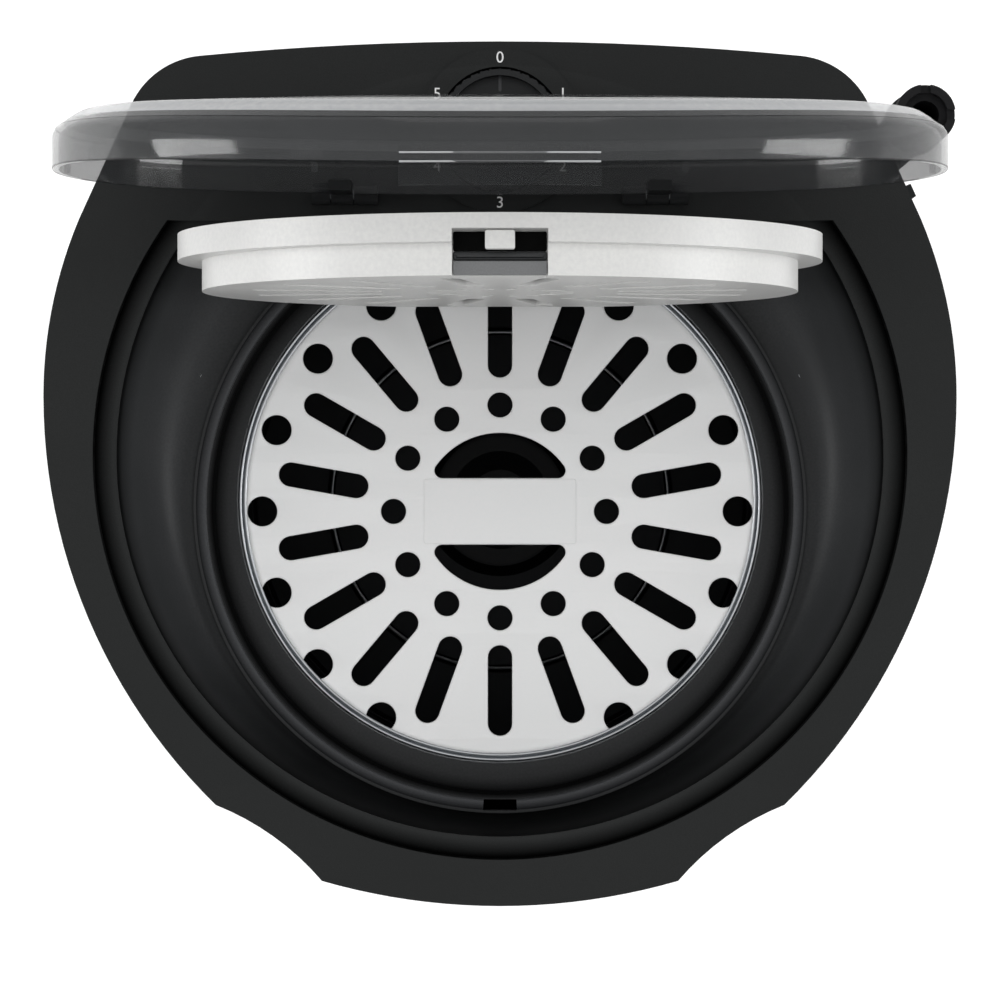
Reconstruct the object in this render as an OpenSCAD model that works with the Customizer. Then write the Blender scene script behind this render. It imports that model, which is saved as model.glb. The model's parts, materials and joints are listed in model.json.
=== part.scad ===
// Top-loading laundry spin dryer with both lids open.
// Millimetres, +Z up, floor at Z = 0, origin under the middle of the cabinet.
// The front faces -Y, the control panel is at the rear.

/* [Cabinet] */
// Height of the deck above the floor
deck_z = 620; // [590:5:680]
// Radius of the round sides
side_r = 228; // [224:1:236]
// Distance of the widest line behind the middle
side_y = 39; // [34:1:44]
// Radius of the sides in front of the widest line
flank_r = 289; // [280:1:298]
// Position of the front edge
front_y = -217.5; // [-224:0.5:-214]
// Radius of the front panel
front_r = 319; // [300:1:340]
// Position of the rear edge
rear_y = 216; // [212:1:222]
// Radius of the rear panel
rear_r = 1571; // [1400:1:1800]
// Sideways position of the rear corner's centre
corner_x = 146; // [140:1:150]
// Radius of the rear corners
corner_r = 42; // [36:1:46]
// Radius of the hollow front corners
scallop_r = 134.5; // [128:0.5:138]
// Sideways position of a hollow corner's centre
scallop_x = 192.9; // [190:0.1:198]
// Position of a hollow corner's centre
scallop_y = -290.8; // [-298:0.1:-288]
// Wall of the cabinet
shell_wall = 3; // [2.5:0.1:4]
// Height of the rubber feet
foot_h = 16; // [12:1:20]
// Radius of the rubber feet
foot_r = 17; // [14:1:20]
// Height of the base pan
base_h = 26; // [22:1:32]
// Step of the plinth behind the cabinet's face
plinth_inset = 4; // [3:0.5:6]

/* [Deck] */
// Thickness of the deck
deck_t = 4; // [3:0.5:5]
// Depth of the deck's skirt
skirt_h = 34; // [30:1:42]
// Radius of the opening
opening_r = 203.3; // [200:0.1:205]
// Distance of the opening's centre behind the middle
opening_y = 9.5; // [8:0.5:11]
// Position of the opening's straight rear edge
opening_rear = 126.5; // [124:0.5:128]
// Width of the lid shelf
shelf_w = 10.8; // [8:0.1:12]
// Depth of the lid shelf under the deck
shelf_d = 8; // [6:0.5:10]
// Radius at which the deck bends down to the front
bend_r = 1572; // [1400:1:1800]
// Position where the bend starts
bend_y = 7; // [0:1:12]
// Radius of the dial's recess
dial_r = 31.8; // [28:0.1:34]
// Distance of the dial behind the middle
dial_y = 171.5; // [170:0.5:173]
// Width of the ring round the dial
bezel_w = 9.2; // [7:0.1:10]

/* [Throat and tub] */
// Position of the spin axis
spin_y = -13; // [-15:0.5:-11]
// Shift of the throat towards the front
throat_shift = 3.3; // [2:0.1:4]
// Outer radius of the raised band
band_r = 159; // [157:0.5:161]
// Width of the raised band
band_w = 6.7; // [5:0.1:7.5]
// Depth of the throat ring under the band
ring_drop = 17.5; // [16:0.5:20]
// Radius of the hole over the basket
mouth_r = 137.8; // [137.2:0.1:140]
// Thickness of the throat ring
ring_t = 2.5; // [2:0.1:3]
// Inner radius of the tub
tub_r = 165; // [162:1:168]
// Wall of the tub
tub_wall = 3; // [2.5:0.1:4]
// Height of the tub's floor above the floor
tub_z = 186; // [182:1:192]
// Wall of the bowl
bowl_wall = 2.6; // [2:0.1:3]

/* [Basket and disc] */
// Outer radius of the basket
basket_r = 149; // [147:0.5:151]
// Wall of the basket
basket_wall = 0.8; // [0.6:0.1:1.2]
// Depth of the basket's rim under the deck
rim_d = 95; // [94.5:0.1:97]
// Radius of the basket's mouth
rim_r = 133; // [132:0.5:136]
// Height of the basket
basket_h = 290; // [250:5:300]
// Radius of the press disc
disc_r = 141.4; // [139:0.1:141.6]
// Thickness of the press disc
disc_t = 4; // [3:0.5:5]
// How far the disc lies off the axis
disc_shift = 6; // [4:0.1:6]
// Depth of the disc under the basket's rim
disc_d = 5; // [4.8:0.1:8]
// Width of a slot in the disc
slot_w = 12.7; // [10:0.1:14]
// Length of a slot in the disc
slot_l = 47.7; // [40:0.1:50]
// Radius of the middle of the slots
slot_ring = 94.2; // [92:0.1:96]
// Number of slots
slots = 18; // [12:2:20]
// Diameter of the small inner holes
inner_hole = 13.2; // [10:0.1:15]
// Radius of the ring of inner holes
inner_ring = 56; // [54:0.1:58]
// Diameter of the outer holes
outer_hole = 15.8; // [12:0.1:17]
// Radius of the ring of outer holes
outer_ring = 125; // [124:0.1:127]
// Radius of the two finger openings
grip_r = 41.3; // [38:0.1:42]
// Half width of the bar between them
grip_bar = 17.5; // [15:0.1:20]

/* [Lids] */
// Radius of the clear lid
lid_r = 206.5; // [204:0.5:208]
// Distance of the lid's round centre in front of its hinge
lid_reach = 129.5; // [127:0.5:132]
// Radius of the lid's rear edge
lid_rear_r = 410; // [380:5:440]
// Radius of the lid's rear corners
lid_corner_r = 118; // [110:1:124]
// Gap between the hinge axis and the lid's rear edge
lid_gap = 5; // [4:0.5:7]
// Height of the lid's skirt
lid_skirt = 17.5; // [15:0.5:20]
// Width of the lid's chamfer
lid_chamfer_w = 12; // [10:0.5:14]
// Height of the lid's chamfer
lid_chamfer_h = 8; // [6:0.5:10]
// Rise of the lid's dome
lid_rise = 4.5; // [3:0.5:8]
// Wall of the clear lid
lid_wall = 3; // [2.5:0.1:4]
// Gap between the closed lid and the deck
lid_lift = 5; // [4:0.5:6]
// Distance of the lid's hinge behind the middle
lid_hinge_y = 139; // [138:0.5:140]
// Height of the lid's hinge over the deck
lid_hinge_z = 5.5; // [5:0.1:6.5]
// Radius of the hinge pins
pin_r = 2.5; // [2:0.1:3]
// Distance of the inner lid's hinge behind the middle
inner_hinge_y = 119; // [117:0.5:120]
// Depth of the inner lid's hinge under the deck
inner_hinge_d = 54; // [53:0.5:56]
// Radius of the inner lid's flange
inner_flange_r = 153.6; // [152:0.1:155]
// Height of the inner lid's flange
inner_flange_h = 12.7; // [11:0.1:14]
// Radius of the inner lid's body
inner_body_r = 142; // [139:0.5:145]
// Depth of the inner lid's body
inner_body_h = 14.2; // [12:0.1:15]
// Distance of the inner lid's top under its hinge
inner_drop = 6; // [5.5:0.1:7]
// Wall of the inner lid
inner_wall = 2.5; // [2:0.1:3]

/* [Drive] */
// Radius of the shaft
shaft_r = 7; // [6:0.5:8]
// Radius of the motor housing
motor_r = 64; // [58:1:68]
// Height of the motor housing
motor_h = 76; // [68:1:80]
// Height of the motor plate above the floor
plate_z = 134; // [132:1:138]
// Radius of the ring of springs
spring_ring = 104; // [98:1:108]
// Radius of a spring's coil
spring_r = 16; // [13:0.5:18]
// Radius of a spring's wire
spring_wire = 1.9; // [1.5:0.1:2.2]
// Turns of a spring
spring_turns = 6; // [5:1:7]
// Radius of the brake drum
brake_r = 44; // [40:1:46]

/* [Drain] */
// Outer radius of the ribbed hose
hose_r = 13; // [12:0.5:14]
// Inner radius of the ribbed hose
hose_bore = 9.5; // [8:0.5:10]
// Distance between two ribs
rib_pitch = 5; // [4.5:0.1:7]
// Gap between the hose and the cabinet
hose_gap = 11.4; // [10:0.1:14]
// Height of the drain's outlet above the floor
outlet_z = 96; // [90:1:104]

/* [Hidden] */
$fn = 96;

charcoal = [0.17, 0.17, 0.18];
dark = [0.10, 0.10, 0.11];
white = [0.90, 0.90, 0.90];
steel = [0.72, 0.73, 0.75];
smoke = [0.35, 0.36, 0.38, 0.5];
rubber = [0.08, 0.08, 0.08];
copper = [0.72, 0.45, 0.25];

far = 600;                 // larger than the cabinet
seat = 0.3;                // gap between a loose piece and its seat
run = 0.05;                // running clearance of a pin or shaft
slack = 0.4;               // gap round a moulding in its cut-out

shell_z = foot_h + base_h;             // lower edge of the cabinet's shell
shell_top = deck_z - skirt_h;
shelf_z = deck_z - shelf_d;
shelf_t = 3;
shelf_r = opening_r - shelf_w;
throat_y = spin_y - throat_shift;
inner_hinge_z = deck_z - inner_hinge_d;
flange_under = inner_hinge_z - inner_drop - inner_flange_h;
band_z = flange_under - 0.5;           // top of the raised band
ring_z = band_z - ring_drop;           // top of the ring over the basket
foot_flange_z = band_z - 4;            // where the bowl stands on the throat ring
throat_r = band_r - band_w - 2.6;      // inside of the throat's short wall
rim_z = deck_z - rim_d;
basket_z = rim_z - basket_h;
disc_z = rim_z - disc_d;               // top of the press disc
lid_axis_z = deck_z + lid_hinge_z;
rim_off = lid_lift - lid_hinge_z;      // closed lid's rim against its hinge
plate_t = 4;

// ---------- outlines ----------

rear_centre = rear_y - rear_r;
corner_y = rear_centre + sqrt(pow(rear_r - corner_r, 2) - pow(corner_x, 2));
// straight flank touching the side circle and the corner circle
flank_angle = atan2(corner_y - side_y, corner_x)
  - acos((side_r - corner_r) / norm([corner_x, corner_y - side_y]));
flank_n = [cos(flank_angle), sin(flank_angle)];
flank_dir = [flank_n[1], -flank_n[0]];
rear_n = [corner_x, corner_y - rear_centre] / (rear_r - corner_r);

// Where two circles meet, on the left (1) or right (-1) of the line between their centres
function meet(c1, r1, c2, r2, side) = let(d = norm(c2 - c1), a = (r1 * r1 - r2 * r2 + d * d) / (2 * d),
  h = sqrt(r1 * r1 - a * a), u = (c2 - c1) / d) c1 + a * u + side * h * [-u[1], u[0]];

function angle_from(c, p) = atan2(p[1] - c[1], p[0] - c[0]);

// Arc without its last point
function arc(c, r, a0, a1, n) = [for (i = [0:n - 1]) let(q = a0 + (a1 - a0) * i / n) c + r * [cos(q), sin(q)]];

// Right half of the cabinet's outline, t inside its face, from the front to the rear
function half_outline(t) = let(
  front_c = [0, front_y + front_r],
  hollow_c = [scallop_x, scallop_y],
  flank_c = [side_r - flank_r, side_y],
  corner_c = [corner_x, corner_y],
  p1 = meet(front_c, front_r - t, hollow_c, scallop_r + t, -1),
  p2 = meet(hollow_c, scallop_r + t, flank_c, flank_r - t, -1),
  rear_angle = atan2(rear_n[1], rear_n[0]))
  concat(arc(front_c, front_r - t, -90, angle_from(front_c, p1), 10),
    arc(hollow_c, scallop_r + t, angle_from(hollow_c, p1), angle_from(hollow_c, p2), 8),
    arc(flank_c, flank_r - t, angle_from(flank_c, p2), 0, 24),
    arc([0, side_y], side_r - t, 0, flank_angle, 14),
    arc(corner_c, corner_r - t, flank_angle, rear_angle, 14),
    arc([0, rear_centre], rear_r - t, rear_angle, 90, 8));

module outline(t = 0) {
  half = half_outline(t);
  n = len(half);
  polygon(concat(half, [[0, rear_y - t]], [for (i = [n - 1:-1:1]) [-half[i][0], half[i][1]]]));
}

module wall_ring(outer, inner, z0, z1) {
  translate([0, 0, z0]) linear_extrude(z1 - z0) difference() {
    outline(outer);
    outline(inner);
  }
}

// How far the deck has dropped at y
function drop(y) = y < bend_y ? bend_r - sqrt(pow(bend_r, 2) - pow(bend_y - y, 2)) : 0;

bend_step = 8;
bend_end = -240;

// Everything below the bent surface that is level z at the rear
module below(z) {
  front = [for (y = [bend_y:-bend_step:bend_end]) [y, z - drop(y)]];
  translate([-far, 0, 0]) rotate([90, 0, 90]) linear_extrude(2 * far)
    polygon(concat([[far, z]], front, [[front[len(front) - 1][0], z - far], [far, z - far]]));
}

// Opening's round part with its straight rear edge
module opening_shape(grow) {
  intersection() {
    translate([0, opening_y]) circle(opening_r + grow, $fn = 180);
    translate([-far, -far]) square([2 * far, far + opening_rear + grow]);
  }
}

module ring_of(count, r, start = 0) {
  for (i = [0:count - 1]) rotate(start + i * 360 / count) translate([r, 0, 0]) children();
}

module tube(r_out, r_in, h) {
  difference() {
    cylinder(r = r_out, h = h);
    translate([0, 0, -1]) cylinder(r = r_in, h = h + 2);
  }
}

module along_x(x, y, z) {
  translate([x, y, z]) rotate([0, 90, 0]) children();
}

// ---------- cabinet ----------

foot_at = [[-128, -128], [128, -128], [-150, 128], [150, 128]];
floor_t = 4;
lip_h = 10;

module base_pan() {
  color(dark) difference() {
    union() {
      translate([0, 0, foot_h]) linear_extrude(floor_t) outline(plinth_inset);
      wall_ring(plinth_inset, plinth_inset + 3, foot_h, shell_z);
      wall_ring(shell_wall + slack, shell_wall + slack + 3, shell_z - 3, shell_z + lip_h);
      translate([0, spin_y, foot_h]) ring_of(3, spring_ring, 90)
        cylinder(r = spring_r + 6, h = seat_z - foot_h - spring_seat_t);
      for (p = strut_at) translate([p[0], p[1], foot_h]) cylinder(r = 14, h = floor_t + 8);
    }
    for (p = foot_at) translate([p[0], p[1], foot_h - 1]) cylinder(r = 4, h = floor_t + 2);
    translate([0, spin_y, 0]) for (a = [0:45:315]) rotate(a + 22.5)
      translate([30, -3, foot_h - 1]) cube([34, 6, floor_t + 2]);
  }
}

module feet() {
  color(rubber) for (p = foot_at) translate([p[0], p[1], 0]) {
    cylinder(r1 = foot_r - 2, r2 = foot_r, h = 3);
    translate([0, 0, 3]) cylinder(r = foot_r, h = foot_h - 3);
    translate([0, 0, foot_h]) cylinder(r = 4 - seat, h = floor_t + 3);
    translate([0, 0, foot_h + floor_t + seat]) cylinder(r = 6, h = 2.7);
  }
}

grip_z = shell_top - 60;
grip_w = 96;
grip_h = 34;
grip_depth = 22;
cover_w = 220;
cover_z = 70;
cover_h = 250;
cover_lap = 10;

module grip_block(s, grow) {
  translate([s > 0 ? side_r - grip_depth - grow : -side_r - 5, side_y - grip_w / 2 - grow, grip_z - grow])
    cube([grip_depth + grow + 5, grip_w + 2 * grow, grip_h + 2 * grow]);
}

module body_shell() {
  color(charcoal) difference() {
    union() {
      wall_ring(0, shell_wall, shell_z, shell_top);
      // seat for the deck's skirt
      wall_ring(shell_wall - 0.5, shell_wall + 3, shell_top - 20, shell_top - 16);
    }
    for (s = [-1, 1]) grip_block(s, slack);
    translate([-cover_w / 2 - slack, rear_y - 30, cover_z - slack])
      cube([cover_w + 2 * slack, 60, cover_h + 2 * slack]);
    gland_place() translate([0, 0, -20]) cylinder(r = gland_r + seat, h = 40);
    for (p = rear_screw_at) translate([p[0], rear_y - 30, p[1]]) rotate([-90, 0, 0])
      cylinder(r = 2.2, h = 60, $fn = 24);
    outlet_place() translate([0, 0, -30]) cylinder(r = outlet_r + slack, h = 60);
    clip_place() translate([0, 0, -20]) cylinder(r = 2.6, h = 30);
    for (p = deck_screw_at) screw_at(p) translate([0, 0, -20]) cylinder(r = screw_r + run, h = 30);
  }
}

module side_grips() {
  color(dark) for (s = [-1, 1]) difference() {
    intersection() {
      grip_block(s, 0);
      translate([0, 0, grip_z - 5]) linear_extrude(grip_h + 10) outline(0);
    }
    translate([s * 3, 0, 0]) grip_block(s, -3);
  }
}

louvre_rows = 9;

module rear_cover() {
  color(dark) difference() {
    union() {
      intersection() {
        wall_ring(0, shell_wall, cover_z, cover_z + cover_h);
        translate([-cover_w / 2, rear_y - 30, cover_z]) cube([cover_w, 60, cover_h]);
      }
      intersection() {
        wall_ring(shell_wall + seat, shell_wall + seat + 2, cover_z - cover_lap, cover_z + cover_h + cover_lap);
        translate([-cover_w / 2 - cover_lap, rear_y - 30, cover_z - cover_lap])
          cube([cover_w + 2 * cover_lap, 60, cover_h + 2 * cover_lap]);
      }
      intersection() {
        wall_ring(shell_wall - 1, shell_wall + seat + 1, cover_z, cover_z + cover_h);
        translate([-cover_w / 2 + 4, rear_y - 30, cover_z + 4]) cube([cover_w - 8, 60, cover_h - 8]);
      }
    }
    for (i = [0:louvre_rows - 1], s = [-1, 0, 1])
      translate([s * 62 - 24, rear_y - 30, cover_z + 60 + i * 14]) cube([48, 60, 5]);
    for (p = rear_screw_at) translate([p[0], rear_y - 30, p[1]]) rotate([-90, 0, 0])
      cylinder(r = 2.2, h = 60, $fn = 24);
  }
}

rear_screw_at = [for (x = [-1, 1], z = [0, 0.5, 1]) [x * (cover_w + cover_lap) / 2, cover_z + 12 + z * (cover_h - 24)]];

module rear_screws() {
  color(steel) for (p = rear_screw_at) {
    y = rear_centre + sqrt(pow(rear_r, 2) - pow(p[0], 2));
    translate([p[0], y, p[1]]) rotate([-90, 0, 0]) difference() {
      union() {
        translate([0, 0, -10]) cylinder(r = 1.9, h = 11, $fn = 24);
        translate([0, 0, 0.5]) cylinder(r1 = 4, r2 = 3, h = 1.8, $fn = 24);
      }
      for (a = [0, 90]) rotate(a) translate([-2.2, -0.4, 1.2]) cube([4.4, 0.8, 2]);
    }
  }
}

// ---------- deck ----------

module deck_plate(z_top, z_low) {
  difference() {
    below(z_top);
    below(z_low);
  }
}

module top_deck() {
  well = shelf_d + shelf_t;
  color(charcoal) difference() {
    union() {
      difference() {
        intersection() {
          translate([0, 0, shell_top]) linear_extrude(skirt_h + 10) outline(0);
          below(deck_z);
        }
        intersection() {
          translate([0, 0, shell_top - 1]) linear_extrude(skirt_h + 10) outline(shell_wall);
          below(deck_z - deck_t);
        }
      }
      intersection() {
        translate([0, 0, shell_top - 20]) linear_extrude(far) opening_shape(3);
        deck_plate(deck_z - 1, deck_z - well);
      }
      wall_ring(shell_wall + slack, shell_wall + slack + 2, shell_top - 10, shell_top + 6);
      wall_ring(shell_wall - 0.5, shell_wall + slack + 2, shell_top + 2, shell_top + 6);
    }
    intersection() {
      translate([0, 0, shell_top - 20]) linear_extrude(far) opening_shape(0);
      translate([-far, -far, deck_z - far / 2]) difference() {
        cube([2 * far, 2 * far, far]);
        translate([far, far, far / 2 - deck_z]) below(shelf_z);
      }
    }
    translate([0, 0, shell_top - 20]) linear_extrude(far) opening_shape(-shelf_w);
    translate([0, dial_y, deck_z - 20]) cylinder(r = dial_r + 3 + slack, h = 40);
    for (p = deck_screw_at) screw_at(p) translate([0, 0, -20]) cylinder(r = 1.9, h = 40, $fn = 24);
  }
}

// Screws through the deck's skirt: place on the outline and outward angle
screw_z = shell_top - 5;
front_screw_y = -135;
front_screw_x = sqrt(pow(flank_r, 2) - pow(front_screw_y - side_y, 2)) - (flank_r - side_r);
rear_screw_y = 110;
rear_screw_x = sqrt(pow(side_r, 2) - pow(rear_screw_y - side_y, 2));
deck_screw_at = [for (s = [-1, 1]) each [
  [s * front_screw_x, front_screw_y, s > 0 ? atan2(front_screw_y - side_y, front_screw_x + flank_r - side_r)
    : 180 - atan2(front_screw_y - side_y, front_screw_x + flank_r - side_r)],
  [s * rear_screw_x, rear_screw_y, s > 0 ? atan2(rear_screw_y - side_y, rear_screw_x)
    : 180 - atan2(rear_screw_y - side_y, rear_screw_x)]]];

module screw_at(p) {
  translate([p[0], p[1], screw_z]) rotate([0, 90, p[2]]) children();
}

screw_r = 1.7;

module deck_screws() {
  color(dark) for (p = deck_screw_at) screw_at(p) difference() {
    union() {
      translate([0, 0, -9]) cylinder(r = screw_r, h = 9.5, $fn = 24);
      translate([0, 0, 0.1]) cylinder(r = 3.2, h = 1.5, $fn = 24);
    }
    for (a = [0, 90]) rotate(a) translate([-2, -0.4, 1]) cube([4, 0.8, 2]);
  }
}

bezel_rise = 0.8;
well_d = 11;

module dial_bezel() {
  color(dark) translate([0, dial_y, 0]) difference() {
    union() {
      translate([0, 0, deck_z + seat]) tube(dial_r + bezel_w, dial_r, bezel_rise);
      translate([0, 0, deck_z - well_d - 2]) cylinder(r = dial_r + 3, h = well_d + 2 + seat + bezel_rise);
    }
    translate([0, 0, deck_z - well_d]) cylinder(r = dial_r, h = far);
    translate([0, 0, deck_z - well_d - 5]) cylinder(r = 5, h = 10);
  }
}

knob_top = deck_z + 1.6;
knob_gap = 1.3;

module timer_knob() {
  color(dark) translate([0, dial_y, 0]) {
    difference() {
      union() {
        translate([0, 0, deck_z - well_d + 1]) cylinder(r = dial_r - knob_gap, h = 5);
        translate([0, 0, deck_z - well_d + 1]) tube(dial_r - knob_gap, dial_r - knob_gap - 3, knob_top - deck_z + well_d - 1);
        translate([-dial_r + knob_gap + 2, -4, deck_z - well_d + 1])
          cube([2 * (dial_r - knob_gap) - 4, 8, knob_top - deck_z + well_d - 1]);
      }
      ring_of(36, dial_r - knob_gap + 0.4) translate([0, 0, deck_z - well_d - 1])
        cylinder(r = 1, h = well_d + 4, $fn = 8);
    }
    translate([0, 0, deck_z - well_d - 12]) cylinder(r = 3.2, h = 13.5);
  }
}

timer_z = deck_z - well_d - 2;

module timer_unit() {
  color(steel) translate([0, dial_y, 0]) difference() {
    union() {
      translate([-24, -22, timer_z - 30]) cube([48, 44, 26]);
      translate([0, 0, timer_z - 5]) cylinder(r = 9, h = 5);
      for (s = [-1, 1]) translate([s * 28 - 5, -5, timer_z - 8]) cube([10, 10, 8]);
      for (s = [-1, 1]) translate([s * 28 - 5, -5, timer_z - 14]) cube([10, 10, 8]);
      for (i = [0:3]) translate([-15 + 9 * i, -4, timer_z - 38]) cube([1, 6, 9]);
    }
    translate([0, 0, timer_z - 12]) cylinder(r = 3.2 + run, h = 20);
  }
}

module lid_switch() {
  color(dark) translate([124, opening_rear + 8, deck_z - deck_t - 18]) {
    cube([28, 11, 14]);
    translate([4, 2, 14]) cube([8, 6, 4]);
    translate([18, 4, -6]) cube([1, 4, 7]);
    translate([8, 4, -6]) cube([1, 4, 7]);
  }
}

// ---------- throat and tub ----------

bowl_steps = 8;
bowl_sides = 96;
bowl_low = foot_flange_z + seat;
bowl_high = shelf_z - shelf_t - seat;

// A ring of the bowl: t runs from the shelf (0) to the band (1)
function bowl_ring(t, grow, sink) =
  let(a = 90 * t, u = 1 - cos(a), v = sin(a),
    r = (shelf_r + (band_r + 0.5 - shelf_r) * u) + grow,
    y0 = opening_y + (throat_y - opening_y) * u)
  [for (i = [0:bowl_sides - 1])
    let(q = 360 * i / bowl_sides, y = y0 + r * sin(q),
      top = bowl_high - drop(y))
    [r * cos(q), y, max(bowl_low, top + (bowl_low + sink - top) * v - sink)]];

function band_faces(first, second, n) = [for (i = [0:n - 1])
  each [[first + i, first + (i + 1) % n, second + (i + 1) % n], [first + i, second + (i + 1) % n, second + i]]];

// The space inside the bowl, grown by its wall for the outer face
module bowl_form(grow, sink) {
  rings = [for (k = [0:bowl_steps]) bowl_ring(k / bowl_steps, grow, sink)];
  n = bowl_sides;
  lift = [for (p = rings[0]) p + [0, 0, 20]];
  low = [for (p = rings[bowl_steps]) p - [0, 0, 20]];
  all = grow > 0 ? rings : concat([lift], rings, [low]);
  count = len(all);
  polyhedron(points = [for (r = all) each r],
    faces = concat([for (k = [0:count - 2]) each band_faces(k * n, (k + 1) * n, n)],
      [[for (i = [n - 1:-1:0]) i]], [[for (i = [0:n - 1]) (count - 1) * n + i]]), convexity = 4);
}

rear_wall_y = opening_rear + 0.5;
rear_wall_t = 3;

module bowl() {
  color(dark) difference() {
    union() {
      bowl_form(bowl_wall, 0);
      intersection() {
        deck_plate(bowl_high, bowl_high - 3);
        translate([0, opening_y, 0]) cylinder(r = opening_r + 2, h = far * 2);
      }
    }
    bowl_form(0, 0);
    translate([-far, rear_wall_y - seat, 0]) cube([2 * far, far, 2 * far]);
    // room for the heads of the ring's screws
    ring_screw_place() translate([0, 0, -1]) cylinder(r = 3.7, h = 3.6, $fn = 24);
  }
}

// Half width of the bowl at height z where its rear wall stands
function rear_half(k) = let(r = bowl_ring(k / bowl_steps, 0, 0)) [
  for (i = [0:bowl_sides / 4 - 1]) if (r[i][1] <= rear_wall_y && r[i + 1][1] > rear_wall_y)
    let(f = (rear_wall_y - r[i][1]) / (r[i + 1][1] - r[i][1]))
      [r[i][0] + f * (r[i + 1][0] - r[i][0]), r[i][2] + f * (r[i + 1][2] - r[i][2])]][0];

module bowl_rear_wall() {
  right = [for (k = [0:bowl_steps]) rear_half(k)];
  color(dark) difference() {
    union() {
      translate([0, rear_wall_y + rear_wall_t, 0]) rotate([90, 0, 0]) linear_extrude(rear_wall_t)
        polygon(concat([for (p = right) p - [seat, 0]],
          [for (k = [bowl_steps:-1:0]) [seat - right[k][0], right[k][1]]]));
      translate([-118, rear_wall_y + rear_wall_t - 0.01, bowl_high - 12]) cube([236, 6, 12]);
    }
    translate([0, throat_y, 0]) cylinder(r = band_r + seat, h = band_z + seat);
  }
}

ring_flange_r = tub_r + tub_wall + 7;

module throat_ring() {
  color(dark) difference() {
    translate([0, throat_y, 0]) union() {
      translate([0, 0, foot_flange_z - 3]) cylinder(r = ring_flange_r, h = 3);
      translate([0, 0, ring_z - ring_t]) cylinder(r = band_r, h = band_z - ring_z + ring_t);
    }
    translate([0, throat_y, 0]) {
      translate([0, 0, ring_z]) cylinder(r1 = throat_r - 1, r2 = throat_r, h = band_z - ring_z - 1.6);
      translate([0, 0, band_z - 1.61]) cylinder(r = band_r - band_w, h = 5);
      translate([0, 0, ring_z - 20]) tube(band_r + 20, throat_r + 2, foot_flange_z - 3 - ring_z + 20);
    }
    translate([0, spin_y, 0]) cylinder(r = mouth_r, h = far * 2);
    // pocket for the inner lid's latch
    translate([-8.7, throat_y - band_r + 1.3, band_z - 11]) cube([17.4, band_w - 1, 20]);
    ring_screw_place() translate([0, 0, -10]) cylinder(r = 2, h = 20, $fn = 24);
  }
}

module ring_screw_place() {
  translate([0, spin_y, foot_flange_z]) ring_of(8, tub_r + tub_wall + 3.2, 22.5) children();
}

module ring_screws() {
  color(steel) ring_screw_place() difference() {
    union() {
      translate([0, 0, 0.1]) cylinder(r = 3.2, h = 2, $fn = 24);
      translate([0, 0, -9]) cylinder(r = 1.8, h = 10, $fn = 24);
    }
    for (a = [0, 90]) rotate(a) translate([-2, -0.4, 1.3]) cube([4, 0.8, 2]);
  }
}

tub_top = foot_flange_z - 3;
neck_r = 46;
outlet_r = 12;
strut_at = [for (a = [90, 210, 330]) [150 * cos(a), spin_y + 150 * sin(a)]];

module tub() {
  color(dark) difference() {
    translate([0, spin_y, 0]) union() {
      translate([0, 0, tub_z]) cylinder(r = tub_r + tub_wall, h = tub_top - tub_z);
      translate([0, 0, tub_top - 12]) cylinder(r = ring_flange_r - 1, h = 12);
      translate([0, 0, tub_z - 10]) tube(neck_r + 3, neck_r, 12);
    }
    translate([0, spin_y, 0]) {
      translate([0, 0, tub_z + tub_wall]) cylinder(r = tub_r, h = far);
      translate([0, 0, tub_z - 5]) cylinder(r = neck_r, h = 20);
      translate([0, 0, tub_top - 30]) tube(ring_flange_r + 20, tub_r + tub_wall, 30 - 4);
    }
    pipe_place() translate([0, 0, -10]) cylinder(r = outlet_r - 2, h = 30);
    ring_screw_place() translate([0, 0, -12]) cylinder(r = 1.9, h = 12, $fn = 24);
  }
}

module tub_struts() {
  color(charcoal) for (p = strut_at) translate([p[0], p[1], foot_h + floor_t + 8]) {
    h = tub_z - foot_h - floor_t - 8;
    cylinder(r = 11, h = 4);
    tube(8, 5, h);
    translate([0, 0, h - 4]) cylinder(r = 12, h = 4);
  }
}

bellows_turns = 4;
bellows_z = tub_z - 9;
bellows_h = basket_z - 8 - bellows_z;
bush_r = 13;

module bellows() {
  step = (bellows_h - 10) / bellows_turns / 2;
  wall = 2;
  outer = [for (i = [0:2 * bellows_turns])
    [neck_r - 1 - wall - (neck_r - bush_r - 5) * i / (2 * bellows_turns) - (i % 2 == 0 ? 0 : 6), 5 + i * step]];
  color(rubber) translate([0, spin_y, bellows_z]) rotate_extrude() union() {
    polygon(concat(outer, [for (i = [2 * bellows_turns:-1:0]) outer[i] - [wall, 0]]));
    translate([neck_r - 3 - wall, 0]) square([wall + 3 - run, 7]);
    translate([shaft_r + 0.1, bellows_h - 6]) square([bush_r - shaft_r, 6]);
  }
}

// ---------- drive ----------

spring_seat_t = 4;
spring_h = 56;
seat_z = plate_z - spring_seat_t - seat - spring_h - seat;

module spring_place() {
  translate([0, spin_y, 0]) ring_of(3, spring_ring, 90) children();
}

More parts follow.
